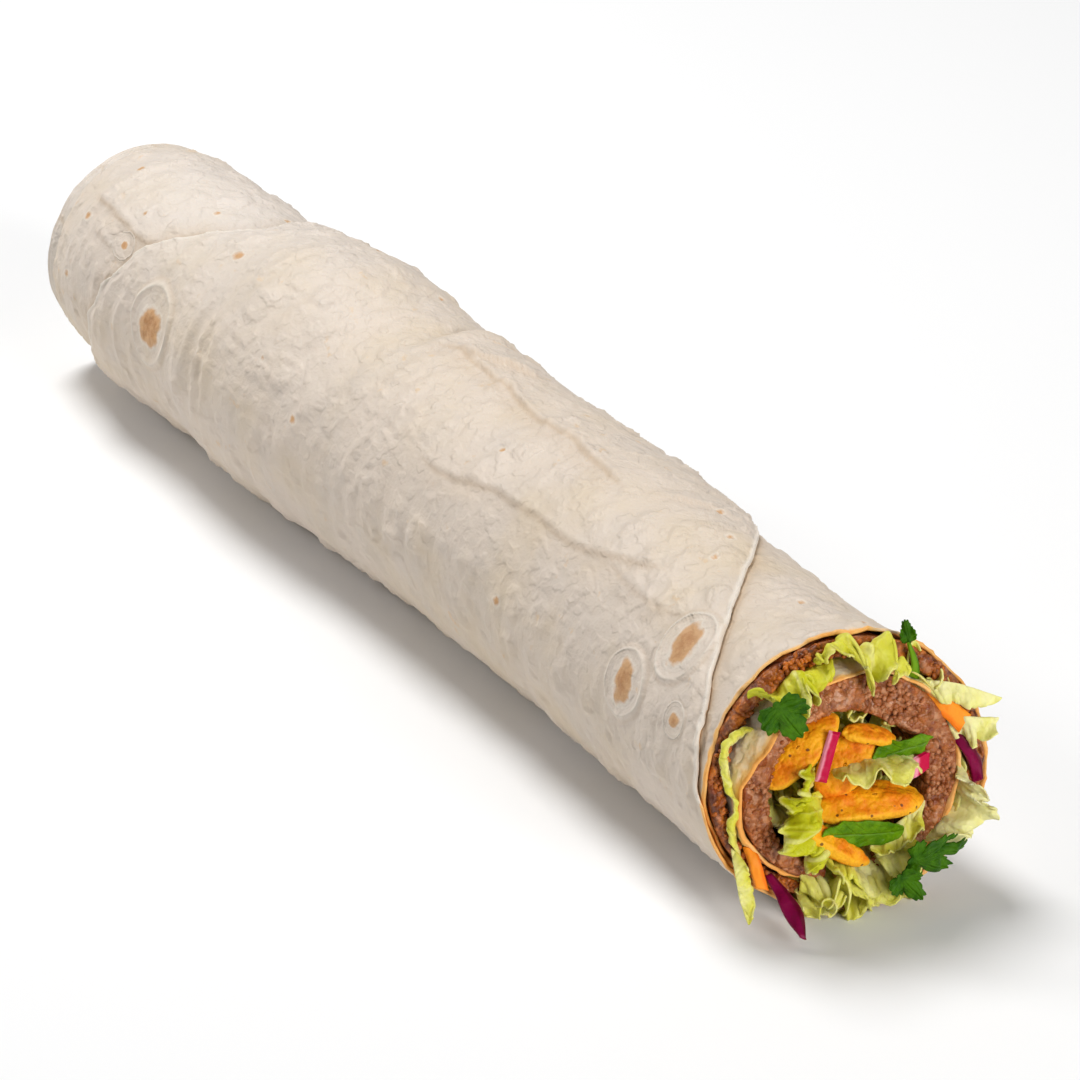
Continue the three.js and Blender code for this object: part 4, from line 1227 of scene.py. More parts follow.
WALL_ROWS = 16  # rows of points along the paste's hidden walls
WALL_X = (FAR_END + 9, 100)  # where those walls run along the roll
WALL_INSET = 0.7  # how far they keep clear of the bread, in millimetres
WALL_SHARE = 0.34  # share of the section's loop along each wall, just behind the end face
WALL_FILLS = 0.85  # share of the clearance outside that the paste fills
FACE_DEEP = 10  # how deep behind the end face that loop reaches
CROWN = 0.7  # how far the end face is rounded out
# A loose grain's least and greatest half sizes, as shares of the usual grain size.
GRAIN_LEAST, GRAIN_MOST = (0.36, 0.3, 0.24), (0.62, 0.46, 0.38)


def crowned(across):
    """A rounded face: level over most of the way across and dropping at both sides, 1 - |2a - 1|^6."""
    return 1 - np.abs(2 * across - 1) ** 6


def paste_profile(angle, share):
    """The paste's section at a winding angle, on a loop of shares: along its outer wall to the mouth,
    over the rounded end face, and back along its inner wall. Gives nominal radius, depth behind the
    face, and a mask of the face."""
    outer = np.clip(share / WALL_SHARE, 0, 1)
    inner = np.clip((1 - share) / WALL_SHARE, 0, 1)
    across = np.clip((share - WALL_SHARE) / (1 - 2 * WALL_SHARE), 0, 1)
    deep = FACE_DEEP * (1 - np.minimum(outer, inner)) ** 1.5
    touching = paste_outer(angle) + WALL_FILLS * GAP
    radius = touching - across * (touching - paste_inner(angle))
    inset = WALL_INSET * eased(deep / 8)
    radius = radius - np.where(share < 0.5, inset, -inset)
    return radius, deep - CROWN * crowned(across), crowned(across)


def paste_body(settings):
    """The paste as a closed spiral: its section carried round by winding angle, pushed out along its
    normals by grains of two sizes, broad lumps and fissures."""
    columns, rows = 720, 58
    angle = np.linspace(*PASTE_SPAN, columns)[:, None]
    radius, deep, crown = paste_profile(angle, np.linspace(0, 1, rows)[None, :])
    angle = np.broadcast_to(angle, radius.shape)
    grid = on_roll(angle, radius, mouth_x(angle, radius, straight(PASTE_OUT, angle)) - deep)
    normal = grid_normals(grid)
    near, number = grains(grid / (settings.grain_size / MM), 53)
    small, tint = grains(grid / (0.5 * settings.grain_size / MM), 54)
    cracked = bell(noise(grid / 4.5, 55), 0.07)
    lump = 0.7 * noise(grid / 3.4, 51) + 0.5 * noise(grid / 1.7, 52)
    height = lump * (0.3 + 0.65 * crown) + 0.26 * np.clip(1 - 1.5 * near**2, -0.4, 1)
    height = height + 0.12 * (1 - small**2) - 0.6 * cracked - 0.2
    side = np.sign(np.einsum("ijk,k->ij", normal, MOUTH_NORMAL).mean())
    grid = grid + side * normal * (height * np.clip(0.35 + crown, 0, 1))[..., None]
    stations = np.linspace(*WALL_X, WALL_ROWS)[None, :]
    outer_wall = on_roll(angle[:, :1], radius[:, :1], stations)
    inner_wall = on_roll(angle[:, -1:], radius[:, -1:], stations[:, ::-1])
    grid = np.concatenate([outer_wall, grid, inner_wall], axis=1)
    # A mask of painted shade between grains and in fissures.
    hollow = np.clip(eased((near - 0.55) / 0.4) + cracked, 0, 1)
    walls = ((0, 0), (WALL_ROWS, WALL_ROWS))
    tone = np.pad(0.6 * number + 0.4 * tint, walls, constant_values=0.3)
    hollow = np.pad(hollow, walls, constant_values=0.6)
    return globe_body(grid, 0.4, tone=tone, hollow=hollow, ring=np.pad(ramp(angle, INNER_PASTE), walls))


def grain_shape():
    """A grain: the eight faces of an octahedron, each cut into four, pushed out to a round."""
    points = list(np.concatenate([[axis, -axis] for axis in np.eye(3)]))
    numbers, faces = {}, []

    def half(a, b):
        key = (min(a, b), max(a, b))
        if key not in numbers:
            numbers[key] = len(points)
            points.append((points[a] + points[b]) / 2)
        return numbers[key]

    for x, y, z in itertools.product((0, 1), (2, 3), (4, 5)):
        a, b, c = (x, y, z) if (x + y + z) % 2 == 0 else (x, z, y)
        ab, bc, ca = half(a, b), half(b, c), half(c, a)
        faces += [(a, ab, ca), (ab, b, bc), (ca, bc, c), (ab, bc, ca)]
    return unit(np.array(points)), np.array(faces)


def scattered_grains(settings, random):
    """Grains on the paste's end face, at even-random winding angles and shares of its thickness, each
    an egg of its own three sizes and turned at random."""
    count = settings.grain_count
    shape, faces = grain_shape()
    weight = np.linspace(*PASTE_SPAN, 400)
    room = hermite(PASTE, weight) * sheet_outer(weight)
    angle = np.interp(random.random(count), np.cumsum(room) / room.sum(), weight)
    across = random.uniform(0.04, 0.96, count)
    radius = paste_outer(angle) - across * hermite(PASTE, angle)
    out = straight(PASTE_OUT, angle) + CROWN * crowned(across) + random.uniform(-0.8, 0.0, count)
    centre = on_roll(angle, radius, mouth_x(angle, radius, out))
    size = random.uniform(GRAIN_LEAST, GRAIN_MOST, (count, 3)) * settings.grain_size / MM
    axes, _ = np.linalg.qr(random.normal(size=(count, 3, 3)))
    points = np.einsum("nij,nkj->nki", axes, shape[None] * size[:, None]) + centre[:, None]
    numbered = faces[None] + len(shape) * np.arange(count)[:, None, None]
    fields = {"tone": random.random(count) ** 0.8, "ring": ramp(angle, INNER_PASTE)}
    fields = {name: np.repeat(values, len(shape)) for name, values in fields.items()}
    return points.reshape(-1, 3), [numbered.reshape(-1, 3)], fields


# ---- Salad ----


def surface(lines, rows, columns):
    """A grid on a smooth surface through lines of points: along the lines, then across them."""
    along = through(lines.transpose(1, 0, 2), np.linspace(0, 1, rows)).transpose(1, 0, 2)
    return through(along, np.linspace(0, 1, columns)).transpose(1, 0, 2)


def sampled(grid, rows, columns):
    """Points of a grid at fractional rows and columns: each is mixed from the four points round it."""
    r = np.clip(rows, 0, grid.shape[0] - 1.001)
    c = np.clip(columns, 0, grid.shape[1] - 1.001)
    i, j = r.astype(int), c.astype(int)
    u, v = (r - i)[..., None], (c - j)[..., None]
    low = (1 - u) * grid[i, j] + u * grid[i + 1, j]
    return (1 - v) * low + v * ((1 - u) * grid[i, j + 1] + u * grid[i + 1, j + 1])


def rolled_out(grid, turn):
    """Bends a grid across its columns: from its first column on, each step keeps its length but is
    turned towards the surface's normal by the angle given for it, in radians."""
    step = np.diff(grid, axis=1)
    size = np.linalg.norm(step, axis=-1, keepdims=True)
    normal = grid_normals(grid)[:, :-1]
    turn = ((turn[:, 1:] + turn[:, :-1]) / 2)[..., None]
    bent = np.cos(turn) * step + np.sin(turn) * size * normal
    return np.concatenate([grid[:, :1], grid[:, :1] + np.cumsum(bent, axis=1)], axis=1)


def leaf_fields(tone, rise, place, vein, seed):
    """Fields of a leaf: greener towards its lip and in clouds, and bruised only at pale lips."""
    green = tone * (0.5 + 0.65 * rise) + 0.15 * noise(place * 1.7, seed)
    return {"green": green, "vein": vein, "bruise": rise**2 * (1 - tone), "lip": rise}


LEAF_SLACK = 1.14  # how much larger a leaf is drawn, as its waves take up some of its size


def leaf_body(lines, tone, ruffle, thick, seed, detail=0.26, wave=1.0):
    """A leaf: a surface through its lines of points whose outline narrows unevenly to a torn lip. It is
    bent across by waves that grow and quicken towards the lip, and puckered between its veins."""
    lines = from_mouth(lines)
    middle = lines.mean(axis=(0, 1))
    lines = middle + LEAF_SLACK * (lines - middle)
    length = max(np.linalg.norm(np.diff(line, axis=0), axis=1).sum() for line in lines)
    width = np.linalg.norm(np.diff(lines, axis=0), axis=-1).sum(axis=0).mean()
    rows = int(max(30, 1.4 * length / detail))
    columns = int(max(20, 1.3 * width / detail))
    s, t = shares(rows, columns)
    along = s * length
    side = np.sign(s - 0.5)
    narrow = 1 - 0.1 * t - 0.12 * t**3 - 0.09 * noise(spread(side * 5, t * width / 2.6), seed)
    torn = 0.16 * noise(spread(along / 3.3, 0), seed + 1) + 0.07 * noise(spread(along / 1.2, 0), seed + 2)
    reach = 0.9 - 0.22 * np.abs(2 * s - 1) ** 3 + torn
    base = surface(lines, rows, columns)
    grid = sampled(base, (0.5 + (s - 0.5) * narrow) * (rows - 1), t * reach * (columns - 1))
    place = spread(along / (4.2 * wave), t * width / 9)
    slow, quick, frill = (
        noise(place * scale + 3.7 * scale, seed + k) for k, scale in ((3, 1), (4, 2.1), (5, 4.3))
    )
    grid = rolled_out(grid, ruffle * (1.15 * slow * t + 1.3 * quick * t**1.5 + 0.75 * frill * t**3))
    stem = bell((s - 0.5 - 0.05 * np.sin(3 * t)) * length, 0.35 + 0.5 * (1 - t))
    branch = (along * side / 3.3 - 1.1 * t) % 1
    vein = np.clip(stem + 0.8 * bell(branch - 0.5, 0.09) * (1 - 0.5 * t), 0, 1)
    puckered = 1 - np.abs(noise(place * 3.1, seed + 6)) * 2
    grid = grid + grid_normals(grid) * ((0.1 + 0.12 * ruffle) * puckered - 0.22 * vein)[..., None]
    return thick_sheet(grid, thick / 2, thick * 0.3, **leaf_fields(tone, t, place, vein, seed + 7))


SHRED_BULGE = 0.12  # how rounded the edges of shreds and layer leaves are, in millimetres


def ribbon(path, width, roll, seed, tone, thick):
    """A shred of leaf: a strip of a width carried along a path of (right, up, x) points, turned about
    the path as it goes, curled across and ruffled at both edges."""
    s, across = shares(34, 9)
    across = 2 * across - 1
    centre = through(path, s[:, 0])
    turn = np.radians(roll[0] + (roll[1] - roll[0]) * s)
    curl = 0.5 * width * across**2 * (0.35 + 0.3 * noise(spread(s * 3, 0), seed))
    lift = curl + 0.5 * across**2 * noise(spread(s * 11, across), seed + 1)
    narrow = 0.5 * width * (0.75 + 0.25 * np.sin(np.pi * s)) * across
    right = centre[:, :1] + np.cos(turn) * narrow - np.sin(turn) * lift
    up = centre[:, 1:2] + np.sin(turn) * narrow + np.cos(turn) * lift
    grid = from_mouth(spread(right, up, 0))
    grid[..., 0] += centre[:, 2:] + 0.8 * noise(spread(across * 3, 0), seed + 2) * s**6
    fields = leaf_fields(tone, s, spread(s * 5, across), bell(across, 0.14), seed + 3)
    return thick_sheet(grid, thick / 2, SHRED_BULGE, **fields)


# Leaves between the two turns: first and last winding angle, how far out, and tone.
LAYER_LEAVES = (
    (300, 372, 1.2, 0.3), (360, 418, 1.6, 0.5), (408, 476, -5, 0.6), (466, 548, -9, 0.6),
    (538, 630, -4, 0.4),
)
LAYER_DEPTH = 26  # how far behind the mouth they reach


def salad_layer(thick):
    """The leaves between the two turns: crinkled leaves that follow the winding, each with an uneven
    front edge and waves that fill the room between the paste and the next turn."""
    bodies = []
    for start, end, out, tone in LAYER_LEAVES:
        rows = 2 * int((end - start) * 1.1)
        angle = np.linspace(start, end, rows)[:, None]
        share = np.linspace(0, 1, 40)[None, :]
        outer = paste_inner(angle) - GAP
        inner = sheet_outer(angle + FULL_TURN) + GAP
        place = spread(angle / 9, share * 3)
        radius = (outer + inner) / 2 + 0.42 * (outer - inner) * noise(place, start)
        edge = out + 1.2 * noise(spread(angle / 6, 0), start + 1)
        x = mouth_x(angle, radius, edge) - LAYER_DEPTH * (1 - share) ** 1.3
        fields = leaf_fields(tone, share, place, bell((angle / 7) % 1 - 0.5, 0.1), start + 2)
        bodies.append(thick_sheet(on_roll(angle, radius, x), thick / 2, SHRED_BULGE, **fields))
    return merged(bodies)


CORE_START = 615  # winding angle that the middle's rings start from
CORE_FIRST = 650  # where the paste's inner side is first followed
CORE_X = FAR_END + 6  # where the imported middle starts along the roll
CORE_LONG = 232  # how far it runs to its lumpy end


def core_bed():
    """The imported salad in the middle, well behind the mouth: rings of points that follow the paste's
    inner side, crumpled by noise, to a lumpy end."""
    share, turn = ringed(60, 160)
    straight_part = share < 0.5
    winding = CORE_START + turn
    edge = paste_inner(np.clip(winding, CORE_FIRST, PASTE_SPAN[1])) - 0.6
    reach = np.where(straight_part, 1.0, np.cos((share - 0.5) * math.pi * 0.98))
    x = np.where(straight_part, CORE_X + 2 * share * CORE_LONG, MOUTH[0] - 10 + 3 * (1 - reach))
    grid = on_roll(winding, edge * reach, x)
    crumple = noise(grid / 3.2, 61) + 0.5 * noise(grid / 1.5, 62)
    grid[..., 0] += 1.8 * crumple * (share > 0.5)
    points, faces, fields = globe_body(grid, 0.4, green=0.35 + 0.3 * crumple)
    return points, faces, {**fields, "vein": 0.0, "bruise": 0.4, "lip": 0.0}


SHREDS = 34  # how many shreds of lettuce run out of the middle
GOLDEN_ANGLE = 2.39996  # radians from one to the next in the sunflower rule
SHRED_REACH = 10.2  # the outermost shred's distance from the middle
SHRED_UP = -2.6  # how far over the mouth's centre the middle of the shreds is
SHRED_X = (-24, -13, -6)  # points along a shred behind the mouth, before its tip


def core_shreds(random, thick):
    """Shreds of lettuce that run out of the middle, at places spread by the sunflower rule and each
    bent and turned at random."""
    bodies = []
    for k in range(SHREDS):
        reach = SHRED_REACH * math.sqrt((k + 0.5) / SHREDS)
        turn = k * GOLDEN_ANGLE
        right, up = reach * math.cos(turn), SHRED_UP + reach * math.sin(turn)
        drift = random.uniform(-1.4, 1.4, (4, 2))
        out = random.uniform(-5.5, -0.4)
        path = [(right + a, up + b, x) for (a, b), x in zip(drift, (*SHRED_X, out))]
        width = random.uniform(3.2, 6)
        start = random.uniform(0, FULL_TURN)
        roll = (start, start + random.uniform(-70, 70))
        bodies.append(ribbon(path, width, roll, 100 + 7 * k, random.uniform(0.2, 0.9), thick))
    return merged(bodies)


def lettuce_scraps(random, thick):
    """Small torn leaves pressed together round the inner turn: each has its root behind the mouth and
    its lip in front, at even-random angles round the salad's side of the turn, turned at random."""
    bodies = []
    for first, last, low, high, count in SCRAP_ARCS:
        for k in range(count):
            angle = math.radians(first + (last - first) * (k + random.uniform(0.2, 0.8)) / count)
            reach = random.uniform(low, high)
            outwards = np.array([math.cos(angle), math.sin(angle), 0])
            size = random.uniform(2.6, 4.6)
            spin = random.uniform(-0.9, 0.9)
            along = size * np.array([-math.sin(angle + spin), math.cos(angle + spin), 0])
            lean = (0.35 * outwards + (0, -0.2, 1)) * random.uniform(2.4, 4.4)
            centre = reach * outwards - (0, 0, 3)
            root = [centre - along, centre - (0, 0, 0.4), centre + along]
            lip = [point + lean + random.uniform(-0.8, 0.8, 3) + (0, 0, 2) for point in root]
            tone, seed = random.uniform(0.1, 0.6), 800 + 20 * len(bodies)
            bodies.append(leaf_body([root, lip], tone, 1.5, thick, seed, 0.36))
    return merged(bodies)


# ---- Chips, herbs and strips ----


def chip_body(at, size, turn, lean, bow, flute, seed):
    """A fried chip: an oval pillow, its outline uneven, bowed and fluted lengthwise, with blistered faces.
    Rings go from the middle of one face, round the rim, to the middle of the other."""
    rings, around = 64, 120
    length, width, thick = size
    theta = np.linspace(0, 2 * math.pi, around, endpoint=False)[None, :]
    p = np.linspace(-1, 1, rings + 2)[1:-1, None]
    psi = np.sign(p) * math.pi / 2 * (1 - (1 - np.abs(p)) ** 1.8)
    reach = np.cos(psi) ** 0.55
    tall = np.sign(psi) * np.abs(np.sin(psi)) ** 0.7
    circle = spread(np.cos(theta), np.sin(theta))
    outline = 1 + 0.05 * noise(circle * 1.3, seed) + 0.025 * noise(circle * 4, seed + 1)
    x = length / 2 * reach * outline * np.cos(theta)
    y = width / 2 * reach * outline * np.sin(theta)
    z = thick / 2 * tall - bow * (2 * x / length) ** 2 + flute * np.cos(9 * y / width + x / 5)
    face = spread(x, y, z)
    blister, number = grains(face[..., :2] / 2.6, seed + 2)
    swell = 0.3 * eased(1 - blister / 0.6) * (number > 0.45)
    rough = 0.2 * layered_noise(face / 1.3, seed + 3)
    face[..., 2] += np.sign(tall) * (1 - reach**6) * (swell + rough)
    face[..., :2] *= (1 + 0.02 * layered_noise(face / 0.8, seed + 4))[..., None]
    return globe_body(settled(face, at, turn, lean), 0, rim=reach**6)


def lobe_of(theta, lobes):
    """How far a direction is from the middle of its lobe, from -1/2 to 1/2."""
    phase = theta * lobes / HERB_FAN
    return phase - np.round(phase)


def herb_outline(theta, lobes, cut):
    """The reach of a herb leaf's edge in each direction. A lobed leaf is a fan about its base: its
    lobes stand side by side over 115 degrees to each side of the tip, cut apart by notches, with
    five teeth each. Without lobes the edge is an oval with a few teeth."""
    if lobes == 0:
        teeth = np.abs((theta * 2.4) % 1 - 0.5) * bell(np.abs(theta) - 1.5, 0.9)
        return 1 - cut * (np.abs(np.sin(1.5 * theta)) + 0.8 * teeth)
    across = lobe_of(theta, lobes)
    teeth = 1 - 2 * np.abs(5 * across - np.round(5 * across))
    fan = 0.42 + 0.58 * np.clip(np.cos(0.62 * theta), 0, 1) ** 1.2
    reach = fan * (1 - cut * np.abs(2 * across) ** 2.4) * (0.87 + 0.13 * teeth)
    return 0.14 + (reach - 0.14) * eased((0.5 * HERB_FAN + 0.12 - np.abs(theta)) / 0.3)


def herb_body(at, size, turn, lean, lobes, cut, seed):
    """A herb leaf: rays from its base or middle out to the outline, cupped and puckered, with a vein
    pressed into the middle of each lobe."""
    theta = np.linspace(-math.pi, math.pi, 300)[:, None]
    share = np.linspace(0.02, 1, 22)[None, :]
    reach = herb_outline(theta, lobes, cut)
    wide, back = (1.2, 0.36) if lobes else (2, 0)
    x = size[0] / wide * (reach * share * np.cos(theta) - back)
    y = size[1] / min(wide + 0.35, 2) * reach * share * np.sin(theta)
    if lobes:
        across = np.abs(lobe_of(theta, lobes))
        in_fan = np.abs(theta) < 0.5 * HERB_FAN
        from_base = np.hypot(x + size[0] / wide * back, y)
        vein = bell(across * 4 / lobes * from_base, 0.2) * in_fan * eased(3 * share)
        branch = bell((5 * across + 0.6 * from_base) % 1 - 0.5, 0.1) * (across > 0.04)
        vein = np.maximum(vein, 0.45 * branch * eased(share * 3))
        cup = 0.55 * np.cos(2 * math.pi * across) * share**2 * in_fan - 0.03 * from_base**2
    else:
        vein = np.maximum(bell(y, 0.22), 0.5 * bell((np.abs(y) * 1.3 + x) % 2.2 - 1.1, 0.14))
        cup = 0.9 * share**2 * np.cos(theta) ** 2 - 0.02 * (x**2 + y**2)
    flat = spread(x, y)
    pucker = 0.5 * noise(flat / 1.9, seed) + 0.15 * noise(flat / 0.8, seed + 1)
    face = spread(x, y, pucker * (0.3 + share) + cup - 0.12 * vein)
    return thick_sheet(settled(face, at, turn, lean), 0.15, 0.06, vein=vein)


def strip_body(lines, thick, seed, wave):
    """A cut strip: a surface through two lines of points, wavy and thicker in its middle, closed
    round its edge. The across field rises to the long side where its skin was."""
    lines = from_mouth(lines)
    rows, columns = 72, 22
    along, across = shares(rows, columns)
    length = np.linalg.norm(np.diff(lines[0], axis=0), axis=1).sum()
    place = spread(along * length / 3, across * 1.2)
    grid = surface(lines, rows, columns)
    normal = grid_normals(grid)
    grid = grid + normal * (wave * noise(place, seed))[..., None]
    section = (1 - np.abs(2 * across - 1) ** 4) ** 0.5 * 0.7 + 0.3
    taper = eased(along / 0.06 + 0.3) * eased((1 - along) / 0.06 + 0.3)
    half = (thick / 2 * section * taper * (1 + 0.12 * noise(place * 3, seed + 1)))[..., None]
    return sheet_body(grid + normal * half, grid - normal * half, thick * 0.14, {"across": across})


# ---- Settings ----


def tint(name, text, default):
    return FloatVectorProperty(
        name=name, description=text, default=default, size=3, min=0, max=1, subtype="COLOR",
    )


def watts(name, text, default):
    return FloatProperty(name=name, description=text, default=default, min=0, unit="POWER")


def degrees(name, text, default):
    return FloatProperty(name=name, description=text, default=math.radians(default), subtype="ANGLE")


def metres(name, text, default, least):
    return FloatProperty(name=name, description=text, default=default, min=least, unit="LENGTH")


class BreadSettings(bpy.types.PropertyGroup):
    """Colours of the flatbread."""

    cream: tint("Cream", "Plain flatbread", (0.70, 0.598, 0.50))
    warm: tint("Warm", "Warmer clouds", (0.685, 0.565, 0.42))
    grey: tint("Grey", "Floury clouds", (0.61, 0.535, 0.465))
    # Flour colour, also painted light: over the top of the far end as flour and a painted highlight, and on
    # the shaded inner turn.
    flour: tint("Flour", "Whiter flour near the tucked end", (0.755, 0.705, 0.665))
    golden: tint("Golden", "Small golden patches", (0.70, 0.48, 0.26))
    # Painted shade: below a fold's crest, painted shadow beside the flap's edge, and painted shade round a
    # blister.
    fold: tint("Fold", "Under a fold, beside the flap's edge and round a blister", (0.54, 0.39, 0.245))
    halo: tint("Halo", "A blister's ring and the pale rim of a toasted spot", (0.80, 0.73, 0.63))
    # A painted highlight along the flap's free edges.
    edge: tint("Edge", "The flap's free edges", (0.80, 0.725, 0.63))
    # Painted light: a lighter cream for the inner turn, which lies in shade inside the mouth.
    bare: tint("Bare", "The inner turn where it shows at the open end", (0.98, 0.85, 0.67))
    toast: tint("Toast", "Toasted spots", (0.61, 0.35, 0.165))
    char: tint("Char", "Darkest toast", (0.43, 0.19, 0.06))
    oil: tint("Oil", "Rim and inside yellowed by oil", (0.91, 0.49, 0.11))
    paste: tint("Paste", "Rim and inside stained by the paste", (0.86, 0.36, 0.06))


class PasteSettings(bpy.types.PropertyGroup):
    """Grains and colours of the bulgur paste."""

    grain_size: metres("Grain size", "Usual size of a bulgur grain", 1.4 * MM, 0.4 * MM)
    grain_count: IntProperty(name="Loose grains", description="On the end face", default=1300, min=0)
    deep: tint("Deep", "Paste in the outer turn", (0.34, 0.09, 0.012))
    light: tint("Light", "Paste in the inner turn", (0.36, 0.115, 0.032))
    red: tint("Red", "Redder grains", (0.24, 0.045, 0.008))
    grain: tint("Grain", "Pale grains", (0.60, 0.28, 0.14))
    # Also laid in patches on the outer turn, partly as a painted highlight.
    oil: tint("Oil", "Orange oil", (0.72, 0.20, 0.015))
    shade: tint("Shade", "Between grains", (0.085, 0.016, 0.006))
    pepper: tint("Pepper", "Charred pepper", (0.025, 0.012, 0.014))


class SaladSettings(bpy.types.PropertyGroup):
    """Thickness and colours of the salad."""

    leaf_thickness: metres("Leaf thickness", "Of a lettuce leaf", 0.34 * MM, 0.1 * MM)
    # Also laid along each leaf's lip as a painted highlight.
    pale: tint("Pale", "Roots and veins", (0.84, 0.80, 0.36))
    yellow: tint("Yellow", "Middle of a leaf", (0.68, 0.65, 0.065))
    lime: tint("Lime", "Lips of the greener leaves", (0.53, 0.53, 0.006))
    bruise: tint("Bruise", "Torn edges", (0.45, 0.26, 0.08))
    parsley_dark: tint("Parsley", "Parsley", (0.016, 0.075, 0.0005))
    parsley_light: tint("Parsley light", "Parsley veins and lighter clouds", (0.055, 0.16, 0.001))
    green_dark: tint("Green leaf", "Smooth green leaves", (0.055, 0.155, 0.001))
    green_light: tint("Green leaf light", "Their lighter clouds and veins", (0.14, 0.29, 0.004))
    radish: tint("Radish", "Pickled radish", (0.52, 0.002, 0.05))
    radish_flesh: tint("Radish flesh", "Its paler flesh", (0.84, 0.30, 0.40))
    carrot: tint("Carrot", "Carrot", (0.90, 0.20, 0.008))
    carrot_flesh: tint("Carrot flesh", "Its paler heart", (0.96, 0.30, 0.02))
    cabbage: tint("Cabbage", "Red cabbage", (0.12, 0.0005, 0.018))
    cabbage_flesh: tint("Cabbage flesh", "Its lighter side", (0.22, 0.001, 0.05))


class ChipSettings(bpy.types.PropertyGroup):
    """Colours of the corn chips."""

    chip: tint("Chip", "Fried corn", (0.98, 0.43, 0.006))
    toasted: tint("Toasted", "Darker clouds", (0.85, 0.22, 0.003))
    browned: tint("Browned", "Brownest patches", (0.50, 0.11, 0.008))
    gold: tint("Gold", "Rims", (1.0, 0.58, 0.03))
    pepper: tint("Pepper", "Specks", (0.10, 0.025, 0.012))


class StageSettings(bpy.types.PropertyGroup):
    """Floor, lights and camera."""

    floor: tint("Floor", "Colour of the floor", (0.91, 0.91, 0.91))
    sky: FloatProperty(name="Sky", description="Strength of the light from all round", default=0.15, min=0)
    key: watts("Key", "Power of the lamp above", 8.8)
    side: watts("Side", "Power of the lamp at the tucked end", 4.0)
    fill: watts("Fill", "Power of the lamp at the open end", 9.6)
    azimuth: degrees("Azimuth", "Camera's turn from facing +Y", 58.7)
    elevation: degrees("Elevation", "Camera's height over the horizon", 26.8)
    distance: metres("Distance", "Camera to target", 1.0, 0.1)
    lens: FloatProperty(name="Lens", description="Focal length", default=181.5, min=10, unit="CAMERA")


# ---- Operators ----


class WRAP_OT_flatbread(bpy.types.Operator):
    """Make the rolled flatbread in three lengths, and its tucked end"""

    bl_idname = "wrap.flatbread"
    bl_label = "Flatbread"

    def execute(self, context):
        material = flatbread_material(context.scene.wrap_bread)
        for name, body in (
            ("flatbread_flap", flatbread_body(FLAP_START, FLAP_END, 229, 325)),
            ("flatbread_outer_turn", flatbread_body(FLAP_END, INNER_START, 175, 325)),
            ("flatbread_inner_turn", flatbread_body(INNER_START, SHEET_END, 161, 181)),
            ("flatbread_tucked_end", tucked_end()),
        ):
            new_piece(name, body, material, ["lavash"])
        return {"FINISHED"}


class WRAP_OT_paste(bpy.types.Operator):
    """Make the bulgur paste and the loose grains on its end"""

    bl_idname = "wrap.paste"
    bl_label = "Bulgur paste"

    def execute(self, context):
        settings = context.scene.wrap_paste
        new_piece("kofte_paste", paste_body(settings), paste_material(settings), ["kofte"])
        loose = scattered_grains(settings, np.random.default_rng(5))
        new_piece("bulgur_grains", loose, grain_material(settings), [])
        return {"FINISHED"}


class WRAP_OT_lettuce(bpy.types.Operator):
    """Make the lettuce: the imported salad, its shreds and the leaves at the open end"""

    bl_idname = "wrap.lettuce"
    bl_label = "Lettuce"

    def execute(self, context):
        settings = context.scene.wrap_salad
        material = lettuce_material(settings)
        random = np.random.default_rng(11)
        thick = settings.leaf_thickness / MM
        for name, body, nodes in (
            ("lettuce_layer_leaves", salad_layer(thick), ["lettuce_layer"]),
            ("lettuce_core_bed", core_bed(), ["lettuce_core"]),
            ("lettuce_core_shreds", core_shreds(random, thick), ["lettuce_core"]),
            ("lettuce_scraps", lettuce_scraps(random, thick), []),
        ):
            new_piece(name, body, material, nodes)
        for seed, (tone, ruffle, wave, folds) in enumerate(LEAVES):
            body = merged(
                leaf_body(lines, tone, ruffle, thick, 200 + 10 * seed + 300 * k, wave=wave)
                for k, lines in enumerate(folds)
            )
            node = f"lettuce_leaf_{seed + 1}"
            new_piece(node + "_ruffled", body, material, [node])
        return {"FINISHED"}


class WRAP_OT_herbs(bpy.types.Operator):
    """Make the parsley and the smooth green leaves"""

    bl_idname = "wrap.herbs"
    bl_label = "Herbs"

    def execute(self, context):
        salad = context.scene.wrap_salad
        parsley = herb_material("parsley", salad.parsley_dark, salad.parsley_light, 0.5)
        smooth = herb_material("green_leaf", salad.green_dark, salad.green_light, 0.35)
        for seed, (node, leaf) in enumerate(HERBS.items()):
            material = parsley if node.startswith("parsley") else smooth
            new_piece(node + "_blade", herb_body(*leaf, seed=400 + 10 * seed), material, [node])
        return {"FINISHED"}


class WRAP_OT_chips(bpy.types.Operator):
    """Make the corn chips"""

    bl_idname = "wrap.chips"
    bl_label = "Corn chips"

    def execute(self, context):
        material = chip_material(context.scene.wrap_chips)
        for k, chip in enumerate(CHIPS):
            node = f"corn_chip_{k + 1}"
            new_piece(node + "_fried", chip_body(*chip, seed=500 + 10 * k), material, [node])
        return {"FINISHED"}


